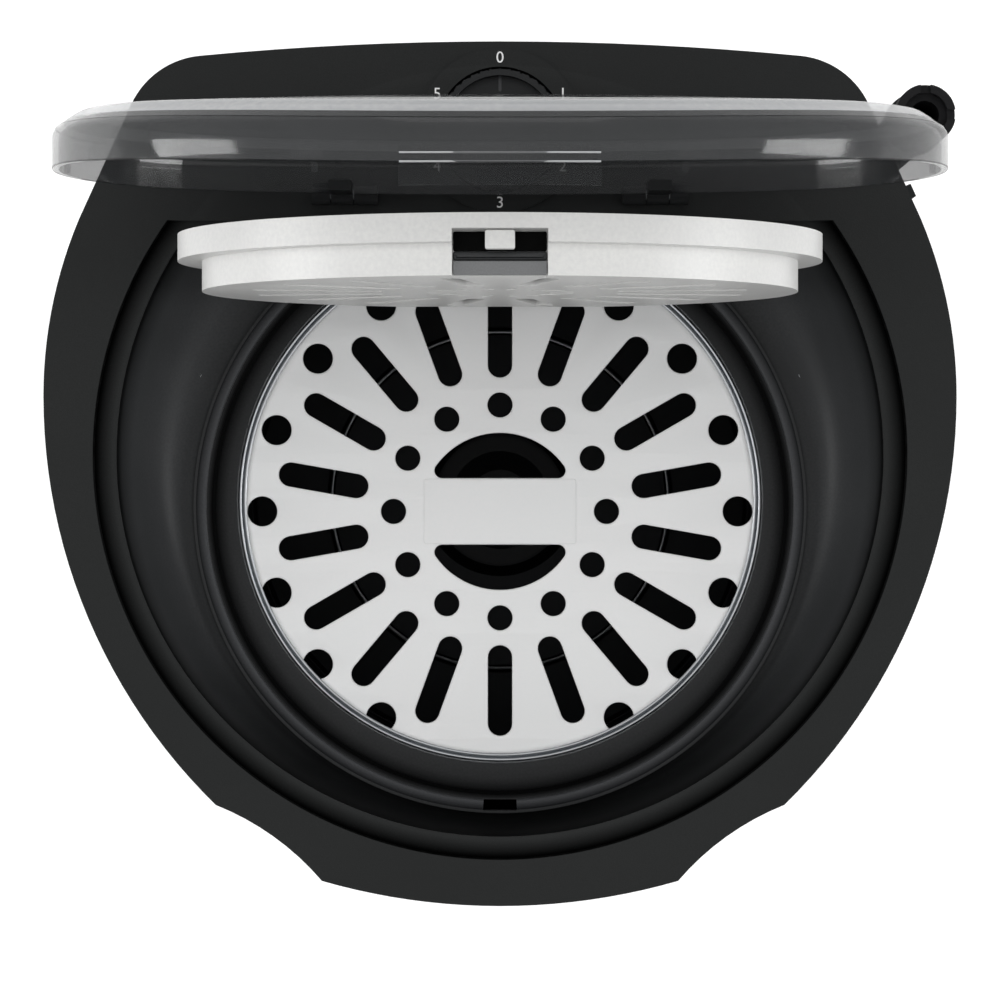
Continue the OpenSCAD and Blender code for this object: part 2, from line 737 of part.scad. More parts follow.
module motor_plate() {
  color(steel) translate([0, spin_y, plate_z]) difference() {
    union() {
      cylinder(r = motor_r + 10, h = plate_t);
      ring_of(3, spring_ring, 90) cylinder(r = spring_r + 8, h = plate_t);
      for (a = [90, 210, 330]) rotate(a) translate([0, -20, 0]) cube([spring_ring, 40, plate_t]);
    }
    translate([0, 0, -1]) cylinder(r = 30, h = plate_t + 2);
    ring_of(3, spring_ring, 90) translate([0, 0, -1]) cylinder(r = 4, h = plate_t + 2);
    ring_of(4, motor_r + 4, 45) translate([0, 0, -1]) cylinder(r = 2.5, h = plate_t + 2, $fn = 24);
  }
  color(steel) translate([lever_x, lever_y, plate_z + 1]) {
    cylinder(r = 6, h = brake_z + 4 - seat - plate_z - 1);
    cylinder(r = 3, h = brake_z + 18 - plate_z);
  }
}

coil_sides = 6;
coil_steps = 8;

function coil_path(r, h, turns) = let(n = turns * coil_steps)
  [for (i = [0:n]) let(a = 360 * i / coil_steps) [r * cos(a), r * sin(a), h * i / n]];

// One ring of the wire at angle a round the coil
function coil_ring(p, a, w) = [for (k = [0:coil_sides - 1])
  let(q = 360 * k / coil_sides) p + w * [cos(q) * cos(a), cos(q) * sin(a), sin(q)]];

module wound_spring(r, h, turns, w) {
  path = coil_path(r, h - 2 * w, turns);
  n = len(path);
  pts = [for (i = [0:n - 1]) each coil_ring(path[i] + [0, 0, w], 360 * i / coil_steps, w)];
  polyhedron(points = pts, faces = concat(
    [for (i = [0:n - 2]) each band_faces(i * coil_sides, (i + 1) * coil_sides, coil_sides)],
    [[for (k = [coil_sides - 1:-1:0]) k]], [[for (k = [0:coil_sides - 1]) (n - 1) * coil_sides + k]]),
    convexity = 6);
}

echo(str("least gap between two turns of a spring: ", (spring_h - 2 * spring_wire) / spring_turns - 2 * spring_wire));

module suspension_springs() {
  color(steel) spring_place() translate([0, 0, seat_z + seat]) wound_spring(spring_r, spring_h, spring_turns, spring_wire);
}

module spring_seats() {
  color(rubber) spring_place() translate([0, 0, seat_z - spring_seat_t]) {
    cylinder(r = spring_r + 5, h = spring_seat_t);
    cylinder(r = spring_r - spring_wire - 1, h = spring_seat_t + 8);
  }
}

module spring_caps() {
  color(rubber) spring_place() translate([0, 0, plate_z - spring_seat_t]) {
    cylinder(r = spring_r + 5, h = spring_seat_t);
    translate([0, 0, -8]) cylinder(r = spring_r - spring_wire - 1, h = 9);
    cylinder(r = 4 - 0.1, h = spring_seat_t + plate_t);
  }
}

motor_top = plate_z;
motor_low = motor_top - motor_h;

module motor_housing() {
  color(steel) translate([0, spin_y, motor_low + 12]) difference() {
    union() {
      cylinder(r = motor_r, h = motor_h - 12);
      translate([0, 0, motor_h - 16]) cylinder(r = motor_r + 8, h = 4);
      translate([0, 0, motor_h - 12.01]) cylinder(r = 29, h = 8);
    }
    translate([0, 0, -1]) cylinder(r = motor_r - 2.5, h = motor_h - 12 - 3);
    translate([0, 0, -1]) cylinder(r = 11, h = motor_h);
    translate([0, 0, motor_h - 19]) cylinder(r = bearing_r, h = 11);
    ring_of(4, motor_r + 4, 45) translate([0, 0, motor_h - 20]) cylinder(r = 2.5, h = 10, $fn = 24);
    ring_of(12, motor_r) translate([-6, -3, 14]) cube([12, 6, 24]);
  }
}

bearing_r = 16;

module motor_end_cap() {
  color(steel) translate([0, spin_y, motor_low]) difference() {
    union() {
      cylinder(r = motor_r, h = 12);
      translate([0, 0, 6]) cylinder(r = bearing_r + 4, h = 9);
    }
    translate([0, 0, 3]) tube(motor_r - 2.5, bearing_r + 4, 20);
    translate([0, 0, 4]) cylinder(r = bearing_r, h = 20);
  }
}

module bearings() {
  color(steel) translate([0, spin_y, 0]) {
    translate([0, 0, motor_low + 4]) tube(bearing_r - run, shaft_r + run, 10);
    translate([0, 0, motor_low + 12 + motor_h - 19]) tube(bearing_r - run, shaft_r + run, 10);
  }
}

stator_z = motor_low + 22;
stator_h = 34;

module stator() {
  color(steel) translate([0, spin_y, stator_z]) difference() {
    cylinder(r = motor_r - 2.5 - run, h = stator_h);
    translate([0, 0, -1]) cylinder(r = 33, h = stator_h + 2);
    ring_of(12, 35) translate([-4, -4, -1]) cube([16, 8, stator_h + 2]);
  }
}

module windings() {
  color(copper) translate([0, spin_y, 0]) for (z = [stator_z - 6.5, stator_z + stator_h + 0.5])
    translate([0, 0, z]) tube(50, 38, 6);
}

module rotor() {
  color(steel) translate([0, spin_y, stator_z]) difference() {
    cylinder(r = 32, h = stator_h);
    translate([0, 0, -1]) cylinder(r = shaft_r + run, h = stator_h + 2);
  }
}

hub_z = basket_z + 3;
nut_z = hub_z + 22;

module motor_shaft() {
  color(steel) translate([0, spin_y, 0]) {
    translate([0, 0, motor_low + 4.5]) cylinder(r = shaft_r, h = nut_z - motor_low - 4.5);
    translate([0, 0, nut_z - 1]) cylinder(r = 5, h = 14);
  }
}

brake_z = plate_z + plate_t + 10;
brake_h = 18;

module brake_drum() {
  color(steel) translate([0, spin_y, brake_z]) difference() {
    union() {
      tube(brake_r, brake_r - 4, brake_h);
      cylinder(r = brake_r, h = 4);
      cylinder(r = 14, h = brake_h);
    }
    translate([0, 0, -1]) cylinder(r = shaft_r + run, h = brake_h + 2);
    ring_of(6, 27) translate([0, 0, -1]) cylinder(r = 6, h = 6);
  }
}

lever_x = 64;
lever_y = spin_y + 8;

// Fixed lining round most of the drum, on its bracket
module brake_band() {
  color(dark) translate([0, spin_y, 0]) difference() {
    union() {
      translate([0, 0, brake_z + 3]) tube(brake_r + 5, brake_r + 1, brake_h - 6);
      for (a = [120, 180, 240]) rotate(a) translate([brake_r + 1.5, -5, plate_z + plate_t]) cube([9, 10, 24]);
    }
    translate([0, 0, brake_z]) rotate(-60) cube([far, far, brake_h]);
    translate([0, 0, brake_z]) rotate(-30) cube([far, far, brake_h]);
  }
}

module brake_lever() {
  color(steel) translate([lever_x, lever_y, 0]) difference() {
    union() {
      translate([0, 0, brake_z + 4]) cylinder(r = 7, h = 10);
      translate([-4, -8, brake_z + 4]) cube([8, 50, 10]);
      translate([-22, -16, brake_z + 4]) cube([20, 16, 10]);
    }
    translate([0, 0, brake_z]) cylinder(r = 3 + run, h = 30);
    translate([-lever_x, spin_y - lever_y, brake_z]) cylinder(r = brake_r + seat, h = 30);
    translate([0, 36, brake_z]) cylinder(r = 2, h = 30, $fn = 24);
  }
}

module brake_cable() {
  pts = [[lever_x, lever_y + 55, brake_z + 9], [56, 80, brake_z + 11], [52, 120, brake_z + 13],
    [60, 156, brake_z + 18], [80, 170, brake_z + 37], [100, 168, 230], [108, 164, 300], [108, 160, 400],
    [108, 160, 500], [114, 154, shell_top - 26], [130, 142, deck_z - 28]];
  color(rubber) cable(pts, 2.5);
}

// ---------- cables and hoses ----------

function lerp(a, b, t) = a + (b - a) * t;
function cross3(a, b) = cross(a, b);
function unit(v) = v / norm(v);
function spline(p, i, t) = let(a = p[max(0, i - 1)], b = p[i], c = p[i + 1], d = p[min(len(p) - 1, i + 2)])
  0.5 * ((2 * b) + (c - a) * t + (2 * a - 5 * b + 4 * c - d) * t * t + (3 * b - a - 3 * c + d) * t * t * t);

module cable(pts, r) {
  per = 5;
  sides = 8;
  path = concat([for (i = [0:len(pts) - 2], k = [0:per - 1]) spline(pts, i, k / per)], [pts[len(pts) - 1]]);
  n = len(path);
  ring = [for (i = [0:n - 1]) let(t = unit(path[min(n - 1, i + 1)] - path[max(0, i - 1)]),
    u = unit(cross(t, [1, 0.2, 0])), v = cross(t, u))
    each [for (k = [0:sides - 1]) path[i] + r * (cos(360 * k / sides) * u + sin(360 * k / sides) * v)]];
  polyhedron(points = ring, faces = concat(
    [for (i = [0:n - 2]) each band_faces((i + 1) * sides, i * sides, sides)],
    [[for (k = [0:sides - 1]) k]], [[for (k = [sides - 1:-1:0]) (n - 1) * sides + k]]), convexity = 6);
}

// Point on the right flank, where the drain leaves; +Z of its frame points outwards
outlet_along = 16;
outlet_on = [corner_x, corner_y] + corner_r * flank_n + outlet_along * flank_dir;
hose_on = outlet_on + (hose_gap + hose_r) * flank_n;

module outlet_place() {
  translate([outlet_on[0], outlet_on[1], outlet_z]) rotate([0, 90, flank_angle]) children();
}

clip_z = shell_top - 24;

module clip_place() {
  translate([outlet_on[0], outlet_on[1], clip_z]) rotate([0, 90, flank_angle]) children();
}

pipe_run = 130;
pipe_at = outlet_on - pipe_run * flank_n;

module pipe_place() {
  translate([pipe_at[0], pipe_at[1], tub_z]) children();
}

// Rigid pipe from the tub's floor to the outlet
module drain_pipe() {
  color(charcoal) translate([pipe_at[0], pipe_at[1], 0]) difference() {
    union() {
      translate([0, 0, outlet_z - 13]) cylinder(r = outlet_r - 1, h = tub_z - outlet_z + 13 - seat);
      translate([0, 0, tub_z - 10]) cylinder(r = outlet_r + 5, h = 10 - seat);
      translate([0, 0, outlet_z]) rotate([0, 90, flank_angle]) cylinder(r = outlet_r - 2, h = pipe_run - 14 - seat);
    }
    translate([0, 0, outlet_z - 11]) cylinder(r = outlet_r - 3, h = tub_z);
    translate([0, 0, outlet_z]) rotate([0, 90, flank_angle]) cylinder(r = outlet_r - 4, h = pipe_run);
  }
}

elbow_bend = 18;

module drain_elbow() {
  color(dark) outlet_place() difference() {
    union() {
      translate([0, 0, -14]) cylinder(r = outlet_r, h = 14 + hose_gap + hose_r - elbow_bend);
      translate([0, 0, 0.2]) cylinder(r = outlet_r + 6, h = 3);
      translate([0, 0, -shell_wall - 3.4]) cylinder(r = outlet_r + 4, h = 3);
      translate([-elbow_bend, 0, hose_gap + hose_r - elbow_bend]) rotate([-90, 0, 0])
        rotate([0, 0, -90]) rotate_extrude(angle = 90) translate([elbow_bend, 0]) circle(hose_bore - 0.1);
      translate([-elbow_bend, 0, hose_gap + hose_r]) rotate([0, -90, 0]) cylinder(r = hose_bore - 0.1, h = 26);
    }
    translate([0, 0, -15]) cylinder(r = hose_bore - 2.5, h = 15 + hose_gap + hose_r - elbow_bend + 0.01);
    translate([-elbow_bend, 0, hose_gap + hose_r - elbow_bend]) rotate([-90, 0, 0])
      rotate([0, 0, -90]) rotate_extrude(angle = 90) translate([elbow_bend, 0]) circle(hose_bore - 2.5);
    translate([-elbow_bend + 0.01, 0, hose_gap + hose_r]) rotate([0, -90, 0]) cylinder(r = hose_bore - 2.5, h = 30);
  }
}

hose_low = outlet_z + elbow_bend + 6;
hose_high = deck_z - 20;
hose_sides = 8;
cuff = 2 * hose_r;

function hose_circle(r, z) = [for (k = [0:hose_sides - 1]) [r * cos(45 * k), r * sin(45 * k), z]];

module drain_hose() {
  length = hose_high - hose_low;
  ribs = floor((length - 2 * cuff) / rib_pitch);
  outer = concat([hose_circle(hose_r - 1, 0), hose_circle(hose_r - 1, cuff)],
    [for (i = [0:ribs - 1]) each [hose_circle(hose_r, cuff + (i + 0.3) * rib_pitch),
      hose_circle(hose_r - 1.8, cuff + (i + 0.8) * rib_pitch)]],
    [hose_circle(hose_r - 1, length - cuff), hose_circle(hose_r - 1, length)]);
  rings = concat(outer, [hose_circle(hose_bore + 1, length), hose_circle(hose_bore + 1, 0)]);
  n = len(rings);
  color(rubber) translate([hose_on[0], hose_on[1], hose_low])
    polyhedron(points = [for (r = rings) each r],
      faces = [for (i = [0:n - 1]) each band_faces(((i + 1) % n) * hose_sides, i * hose_sides, hose_sides)],
      convexity = 8);
}

end_r = 15;

module hose_end() {
  color(dark) translate([hose_on[0], hose_on[1], hose_high - 20]) difference() {
    union() {
      cylinder(r = hose_bore - 0.2, h = 20.5);
      translate([0, 0, 20.3]) cylinder(r = end_r, h = 16);
    }
    translate([0, 0, -1]) cylinder(r = hose_bore - 2.2, h = 50);
    translate([0, 0, 30]) cylinder(r = hose_bore + 1.5, h = 10);
    for (a = [0, 90]) rotate(a) translate([hose_bore - 1, -2.5, 32]) cube([8, 5, 8]);
  }
}

module hose_clip() {
  color(charcoal) clip_place() difference() {
    union() {
      translate([0, 0, 0.1]) cylinder(r = 9, h = 3);
      translate([-5, -2.5, 0.1]) cube([10, 5, hose_gap + 2]);
      translate([0, 0, -8]) cylinder(r = 2.4, h = 9);
      translate([-6, 0, hose_gap + hose_r]) rotate([0, 90, 0]) cylinder(r = hose_r + 2.6, h = 12);
      // strap to the hook beside the hose
      translate([-8, -34, 0.1]) cube([16, 34, 2.5]);
      translate([-8, -34, 0.1]) cube([16, 7, 9]);
    }
    translate([-20, 0, hose_gap + hose_r]) rotate([0, 90, 0]) cylinder(r = hose_r + seat, h = 40);
    translate([-20, -8, hose_gap + hose_r]) cube([40, 16, 40]);
  }
}

gland_x = -(cover_w / 2 + 27);
gland_z = 67;
gland_r = 9;

module gland_place() {
  y = sqrt(pow(rear_r, 2) - pow(gland_x, 2));
  translate([gland_x, rear_centre + y, gland_z]) rotate([0, 90, atan2(y, gland_x)]) children();
}

module cord_gland() {
  color(rubber) gland_place() difference() {
    union() {
      translate([0, 0, -8]) cylinder(r = gland_r, h = 9);
      translate([0, 0, 0.4]) cylinder(r = gland_r + 3, h = 2.5);
      translate([0, 0, -shell_wall - 4]) cylinder(r = gland_r + 2, h = 3);
    }
    translate([0, 0, -9]) cylinder(r = 3.6, h = 20);
  }
}

module capacitor() {
  color(white) translate([-150, 60, foot_h + floor_t]) {
    cylinder(r = 20, h = 68);
    translate([0, 0, 68]) cylinder(r = 17, h = 3);
    for (s = [-1, 1]) translate([s * 7 - 3, -0.5, 71]) cube([6, 1, 9]);
  }
}

module terminal_box() {
  color(dark) translate([-118, 128, foot_h + floor_t]) difference() {
    cube([60, 46, 30]);
    translate([2, 2, 2]) cube([56, 42, 26]);
    translate([26, -1, 12]) cube([8, 4, 6]);
  }
}

// ---------- basket ----------

holes_round = 16;
hole_rows = 6;
shoulder = 3.5;

module basket_wall_sheet() {
  color(steel) translate([0, spin_y, 0]) difference() {
    translate([0, 0, basket_z]) tube(basket_r, basket_r - basket_wall, rim_z - shoulder - basket_z);
    for (k = [0:hole_rows - 1], i = [0:holes_round - 1])
      translate([0, 0, basket_z + 40 + k * 36]) rotate([0, 90, (i + (k % 2) / 2) * 360 / holes_round])
        translate([0, 0, basket_r - 4]) cylinder(r = 3, h = 8, $fn = 16);
  }
}

// Shoulder and rolled lip round the mouth
module basket_rim() {
  color(steel) translate([0, spin_y, rim_z]) rotate_extrude() polygon([
    [basket_r, -shoulder], [basket_r - 1.2, -shoulder], [rim_r + 2.3, -2], [rim_r + 1.2, -2.1],
    [rim_r + 0.4, -1.7], [rim_r, -1], [rim_r + 0.3, -0.3], [rim_r + 1, 0], [rim_r + 1.8, -0.2],
    [rim_r + 2.4, -0.9], [basket_r - 1, -shoulder + 0.9], [basket_r - 0.2, -shoulder + 0.5]]);
}

module basket_floor() {
  color(steel) translate([0, spin_y, basket_z]) rotate_extrude() polygon([
    [24, 3], [24, 2.2], [40, 2.2], [46, 8.2], [98, 8.2], [103, 2.2], [146, 2.2],
    [basket_r - basket_wall, 6], [basket_r - basket_wall, 12], [basket_r - basket_wall - 0.8, 12],
    [basket_r - basket_wall - 0.8, 6.5], [145.5, 3], [103.5, 3], [98.5, 9], [45.5, 9], [39.5, 3]]);
}

module basket_hub() {
  color(dark) translate([0, spin_y, 0]) difference() {
    union() {
      translate([0, 0, hub_z]) cylinder(r = 38, h = 6);
      translate([0, 0, hub_z + 5]) cylinder(r1 = 30, r2 = 18, h = 17);
      translate([0, 0, basket_z - 3]) cylinder(r = 36, h = 5.2);
      translate([0, 0, basket_z]) cylinder(r = 23.7, h = 5);
    }
    translate([0, 0, basket_z - 10]) cylinder(r = shaft_r + run, h = 60);
  }
}

module hub_nut() {
  color(steel) translate([0, spin_y, nut_z]) difference() {
    cylinder(r = 9, h = 8, $fn = 6);
    translate([0, 0, -1]) cylinder(r = 5 + run, h = 12);
  }
}

// ---------- press disc ----------

plate_pad = [80, 36.8];

module slot_cut(w, l) {
  translate([-(l - w) / 2, 0]) circle(w / 2, $fn = 32);
  translate([(l - w) / 2, 0]) circle(w / 2, $fn = 32);
  translate([-(l - w) / 2, -w / 2]) square([l - w, w]);
}

// One finger opening, with rounded corners
module finger_opening() {
  r = 4;
  x = sqrt(pow(grip_r - r, 2) - pow(grip_bar + r, 2));
  union() {
    intersection() {
      circle(grip_r);
      translate([-x, grip_bar]) square([2 * x, grip_r]);
    }
    intersection() {
      circle(grip_r - r + 0.001);
      translate([-far, grip_bar + r]) square([2 * far, grip_r]);
    }
    for (s = [-1, 1]) translate([s * x, grip_bar + r]) circle(r, $fn = 32);
  }
}

module press_disc() {
  color(white) translate([0, spin_y - disc_shift, disc_z - disc_t]) {
    linear_extrude(disc_t) difference() {
      circle(disc_r, $fn = 180);
      for (i = [0:11]) rotate(i * 30) translate([inner_ring, 0]) circle(inner_hole / 2, $fn = 32);
      for (i = [0:slots - 1]) rotate(90 + i * 360 / slots) translate([slot_ring, 0]) slot_cut(slot_w, slot_l);
      for (s = [0, 180], i = [-3:3]) rotate(s + 20 * i) translate([outer_ring, 0])
        circle(outer_hole / 2, $fn = 32);
      for (s = [0, 180]) rotate(s) finger_opening();
    }
    translate([0, 0, disc_t - 0.01]) intersection() {
      translate([-plate_pad[0] / 2, -grip_bar + 0.4, 0]) cube([plate_pad[0], 2 * grip_bar - 0.8, 0.61]);
    }
    difference() {
      translate([0, 0, -5]) tube(disc_r - 1, disc_r - 3.4, 5.01);
      translate([0, 0, -6]) tube(far, disc_r - 2.2, 2);
    }
  }
}

// ---------- clear lid ----------

// Corner circle touches the front circle and the rear arc from inside
lid_rear_c = lid_reach - lid_gap - lid_rear_r;           // rear arc's centre, from the front circle's centre
corner_d1 = lid_r - lid_corner_r;
corner_d2 = lid_rear_r - lid_corner_r;
lid_cy = (pow(corner_d1, 2) - pow(corner_d2, 2) + pow(lid_rear_c, 2)) / (2 * lid_rear_c);
lid_cx = sqrt(pow(corner_d1, 2) - pow(lid_cy, 2));
tangent_front = atan2(lid_cy, lid_cx);
tangent_rear_p = [0, lid_rear_c] + lid_rear_r / corner_d2 * ([lid_cx, lid_cy] - [0, lid_rear_c]);
tangent_rear = atan2(tangent_rear_p[1], tangent_rear_p[0]);

function far_hit(cx, cy, r, q) = let(b = cx * cos(q) + cy * sin(q)) b + sqrt(b * b - cx * cx - cy * cy + r * r);

// Radius of the lid's edge at angle q, with +90 pointing to the hinge
function lid_edge(q) = let(m = abs(q > 90 ? 180 - q : (q < -90 ? -180 - q : q)) * (q < 0 ? -1 : 1))
  m < tangent_front ? lid_r : (m < tangent_rear ? far_hit(lid_cx, lid_cy, lid_corner_r, m)
    : far_hit(0, lid_rear_c, lid_rear_r, m));

lid_sides = 96;

// Ring of the closed lid in the hinge's frame: shrunk by inset, at height z over the rim
function lid_ring(inset, z) = [for (i = [0:lid_sides - 1])
  let(q = -180 + 360 * i / lid_sides, e = lid_edge(q), r = e * (1 - inset / lid_r),
    y = -lid_reach + r * sin(q),
    yd = -lid_reach + e * sin(q) * (1 - inset / lid_r) + lid_hinge_y)
  [r * cos(q), y, rim_off + z - drop(yd)]];

dome_steps = 5;
dome_r = lid_r - lid_chamfer_w;

// Rings of the lid's outer face (wall 0) or inner face, from the rim to the middle
function lid_rings(wall) = let(top = lid_skirt + lid_chamfer_h - wall)
  concat([lid_ring(wall, 0), lid_ring(wall, lid_skirt - wall * 0.4), lid_ring(lid_chamfer_w + wall * 0.4, top)],
    [for (k = [1:dome_steps]) let(f = k / (dome_steps + 0.6))
      lid_ring(lid_chamfer_w + wall * 0.4 * (1 - f) + dome_r * f, top + lid_rise * (1 - pow(1 - f, 2)))]);

function lid_apex(wall) = [0, -lid_reach,
  rim_off + lid_skirt + lid_chamfer_h - wall + lid_rise - drop(lid_hinge_y - lid_reach)];

// The lid as one shell: outer face up to its middle, inner face, and the rim between them
module lid_shell() {
  n = lid_sides;
  outer = lid_rings(0);
  inner = lid_rings(lid_wall);
  m = len(outer);
  last = 2 * m * n;
  polyhedron(points = concat([for (r = outer) each r], [for (r = inner) each r],
      [lid_apex(0), lid_apex(lid_wall)]),
    faces = concat(
      [for (k = [0:m - 2]) each band_faces((k + 1) * n, k * n, n)],
      [for (i = [0:n - 1]) [(m - 1) * n + (i + 1) % n, (m - 1) * n + i, last]],
      [for (k = [m:2 * m - 2]) each band_faces(k * n, (k + 1) * n, n)],
      [for (i = [0:n - 1]) [(2 * m - 1) * n + i, (2 * m - 1) * n + (i + 1) % n, last + 1]],
      band_faces(0, m * n, n)), convexity = 6);
}

// Stands the closed lid up on its hinge
module lid_open() {
  translate([0, lid_hinge_y, lid_axis_z]) rotate([-90, 0, 0]) children();
}

hinge_mid = 78.5;
knuckle_w = 11;
lug_in_w = 11.5;
lug_out_w = 9;
lug_r = 5.2;
side_gap = 0.5;
arm_l = 34;

module clear_lid() {
  color(smoke) lid_open() difference() {
    lid_shell();
    for (s = [-1, 1]) translate([s * hinge_mid - knuckle_w / 2 - seat, -arm_l, rim_off - 8])
      cube([knuckle_w + 2 * seat, arm_l, 8 + 5.5]);
  }
}

// Arms clipped in the clear lid's rear edge, with the knuckles
module lid_arms() {
  color(dark) lid_open() for (s = [-1, 1]) translate([s * hinge_mid - knuckle_w / 2, 0, 0]) difference() {
    union() {
      translate([0, 0, 0]) rotate([0, 90, 0]) cylinder(r = lug_r - 0.3, h = knuckle_w);
      translate([0, -arm_l, rim_off]) cube([knuckle_w, arm_l, 5.2]);
      translate([0, -arm_l, rim_off]) cube([knuckle_w, 14, 5.2]);
    }
    translate([-1, 0, 0]) rotate([0, 90, 0]) cylinder(r = pin_r + run, h = knuckle_w + 2);
  }
}

module lid_hinge_lugs() {
  color(dark) for (s = [-1, 1]) difference() {
    union() for (side = [[-lug_out_w - knuckle_w / 2 - side_gap, lug_out_w], [knuckle_w / 2 + side_gap, lug_in_w]]) {
      x = s * hinge_mid - (s > 0 ? side[0] + side[1] : -side[0]);
      along_x(x, lid_hinge_y, lid_axis_z) cylinder(r = lug_r, h = side[1]);
      translate([x, lid_hinge_y - 4, deck_z]) cube([side[1], 9.2, lid_hinge_z]);
    }
    along_x(s * hinge_mid - 30, lid_hinge_y, lid_axis_z) cylinder(r = pin_r + run, h = 60);
  }
}

module lid_pins() {
  color(steel) for (s = [-1, 1]) {
    low = s * hinge_mid - (s > 0 ? knuckle_w / 2 + side_gap + lug_in_w : knuckle_w / 2 + side_gap + lug_out_w);
    along_x(low + 1, lid_hinge_y, lid_axis_z) cylinder(r = pin_r, h = knuckle_w + 2 * side_gap + lug_in_w + lug_out_w - 2);
  }
}

lip_w = 84;
lip_hang = 10.5;
bumper_at = [for (a = [-160, -112, -68, -20]) [(lid_r - 1.5) * cos(a), opening_y + (lid_r - 1.5) * sin(a)]];

// Pads under the clear lid's rim, which land on the deck
module lid_bumpers() {
  color(rubber) lid_open() for (p = bumper_at)
    translate([p[0], p[1] - lid_hinge_y, rim_off - drop(p[1]) - lid_lift + seat + 0.2])
      cylinder(r = 1.4, h = lid_lift - 2 * seat - 0.4, $fn = 32);
}

// Finger lip inside the front of the clear lid
module lid_lip() {
  low = rim_off - drop(opening_y - opening_r + 13);
  color(smoke) lid_open() intersection() {
    translate([0, -lid_reach, low]) union() {
      translate([0, 0, -lip_hang]) tube(opening_r - 1.5, opening_r - 4.5, lip_hang + 6);
      translate([0, 0, 3]) tube(lid_r - lid_wall - seat, opening_r - 4.5, 3);
    }
    translate([-lip_w / 2, -lid_reach - far, -far]) cube([lip_w, far, 2 * far]);
  }
}

// ---------- inner lid ----------

inner_c = -(inner_hinge_y - throat_y);
inner_chord = 2;
body_chord = -3;
vent_slots = 16;

module inner_open() {
  translate([0, inner_hinge_y, inner_hinge_z]) rotate([-90, 0, 0]) children();
}

module inner_outline(r, chord) {
  intersection() {
    translate([0, inner_c]) circle(r, $fn = 180);
    translate([-far, chord - far]) square([2 * far, far]);
  }
}

inner_knuckle_x = 52;
notch_w = 42.4;
notch_top = 6.8;
face_t = 2.2;

module inner_lid() {
  top = -inner_drop;
  mid = top - inner_flange_h;
  low = mid - inner_body_h;
  color(white) inner_open() difference() {
    union() {
      translate([0, 0, mid]) linear_extrude(inner_flange_h) inner_outline(inner_flange_r, inner_chord);
      translate([0, 0, low]) linear_extrude(inner_body_h + 1) inner_outline(inner_body_r, body_chord);
      for (s = [-1, 1]) translate([s * inner_knuckle_x - 8, -lug_r + 0.7, top - 0.01]) cube([16, lug_r + 1.2, inner_drop]);
      for (s = [-1, 1]) along_x(s * inner_knuckle_x - 8, 0, 0) cylinder(r = lug_r - 0.7, h = 16);
    }
    difference() {
      union() {
        translate([0, 0, mid + inner_wall]) linear_extrude(inner_flange_h)
          inner_outline(inner_flange_r - inner_wall, inner_chord - inner_wall - 6);
        translate([0, 0, low + face_t]) linear_extrude(inner_body_h + 1)
          inner_outline(inner_body_r - inner_wall, body_chord - inner_wall - 1);
      }
      // stiffening ribs and the latch's housing
      for (a = [0:45:315]) translate([0, inner_c, low]) rotate(a + 22.5) translate([40, -1, 0])
        cube([inner_body_r - 42, 2, inner_body_h + 4]);
      translate([0, inner_c, low]) tube(42, 40, inner_body_h + 2);
      translate([-notch_w / 2 - 2, inner_c - inner_flange_r, low]) cube([notch_w + 4, 24, inner_flange_h + inner_body_h - 2]);
    }
    // air slots in the face
    for (i = [0:vent_slots - 1]) translate([0, inner_c, low - 1]) rotate(90 + i * 360 / vent_slots + 11.25) {
      translate([88, 0]) linear_extrude(face_t + 2) slot_cut(9, 62);
      translate([30, 0]) linear_extrude(face_t + 2) slot_cut(5, 12);
    }
    // notch for the latch at the front
    translate([-notch_w / 2, inner_c - inner_flange_r - 1, low - 1]) cube([notch_w, 21, inner_flange_h + inner_body_h + 1 - notch_top]);
    for (s = [-1, 1]) along_x(s * inner_knuckle_x - 9, 0, 0) cylinder(r = pin_r + run, h = 18);
  }
}

// Spring latch in the notch of the inner lid
module inner_lid_latch() {
  top = -inner_drop - notch_top;
  front = inner_c - inner_flange_r;
  color([0.45, 0.45, 0.46]) inner_open() {
    translate([-notch_w / 2 + seat, front + 14, top - 20]) cube([notch_w - 2 * seat, 5.7, 20 - seat]);
    translate([-6.5, front + 5.6, top - 8.7]) cube([13, 9, 8.7 - seat]);
  }
}

module inner_hinge_lugs() {
  color(dark) for (s = [-1, 1]) difference() {
    union() for (side = [-1, 1]) {
      x = s * inner_knuckle_x + (side > 0 ? 8 + side_gap : -8 - side_gap - 6);
      along_x(x, inner_hinge_y, inner_hinge_z) cylinder(r = lug_r - 0.2, h = 6);
      translate([x, inner_hinge_y, inner_hinge_z - lug_r + 0.2]) cube([6, rear_wall_y - inner_hinge_y, 2 * lug_r - 0.4]);
    }
    along_x(s * inner_knuckle_x - 20, inner_hinge_y, inner_hinge_z) cylinder(r = pin_r + run, h = 40);
  }
}

module inner_pins() {
  color(steel) for (s = [-1, 1])
    along_x(s * inner_knuckle_x - 14, inner_hinge_y, inner_hinge_z) cylinder(r = pin_r, h = 28);
}

// ---------- the assembly ----------

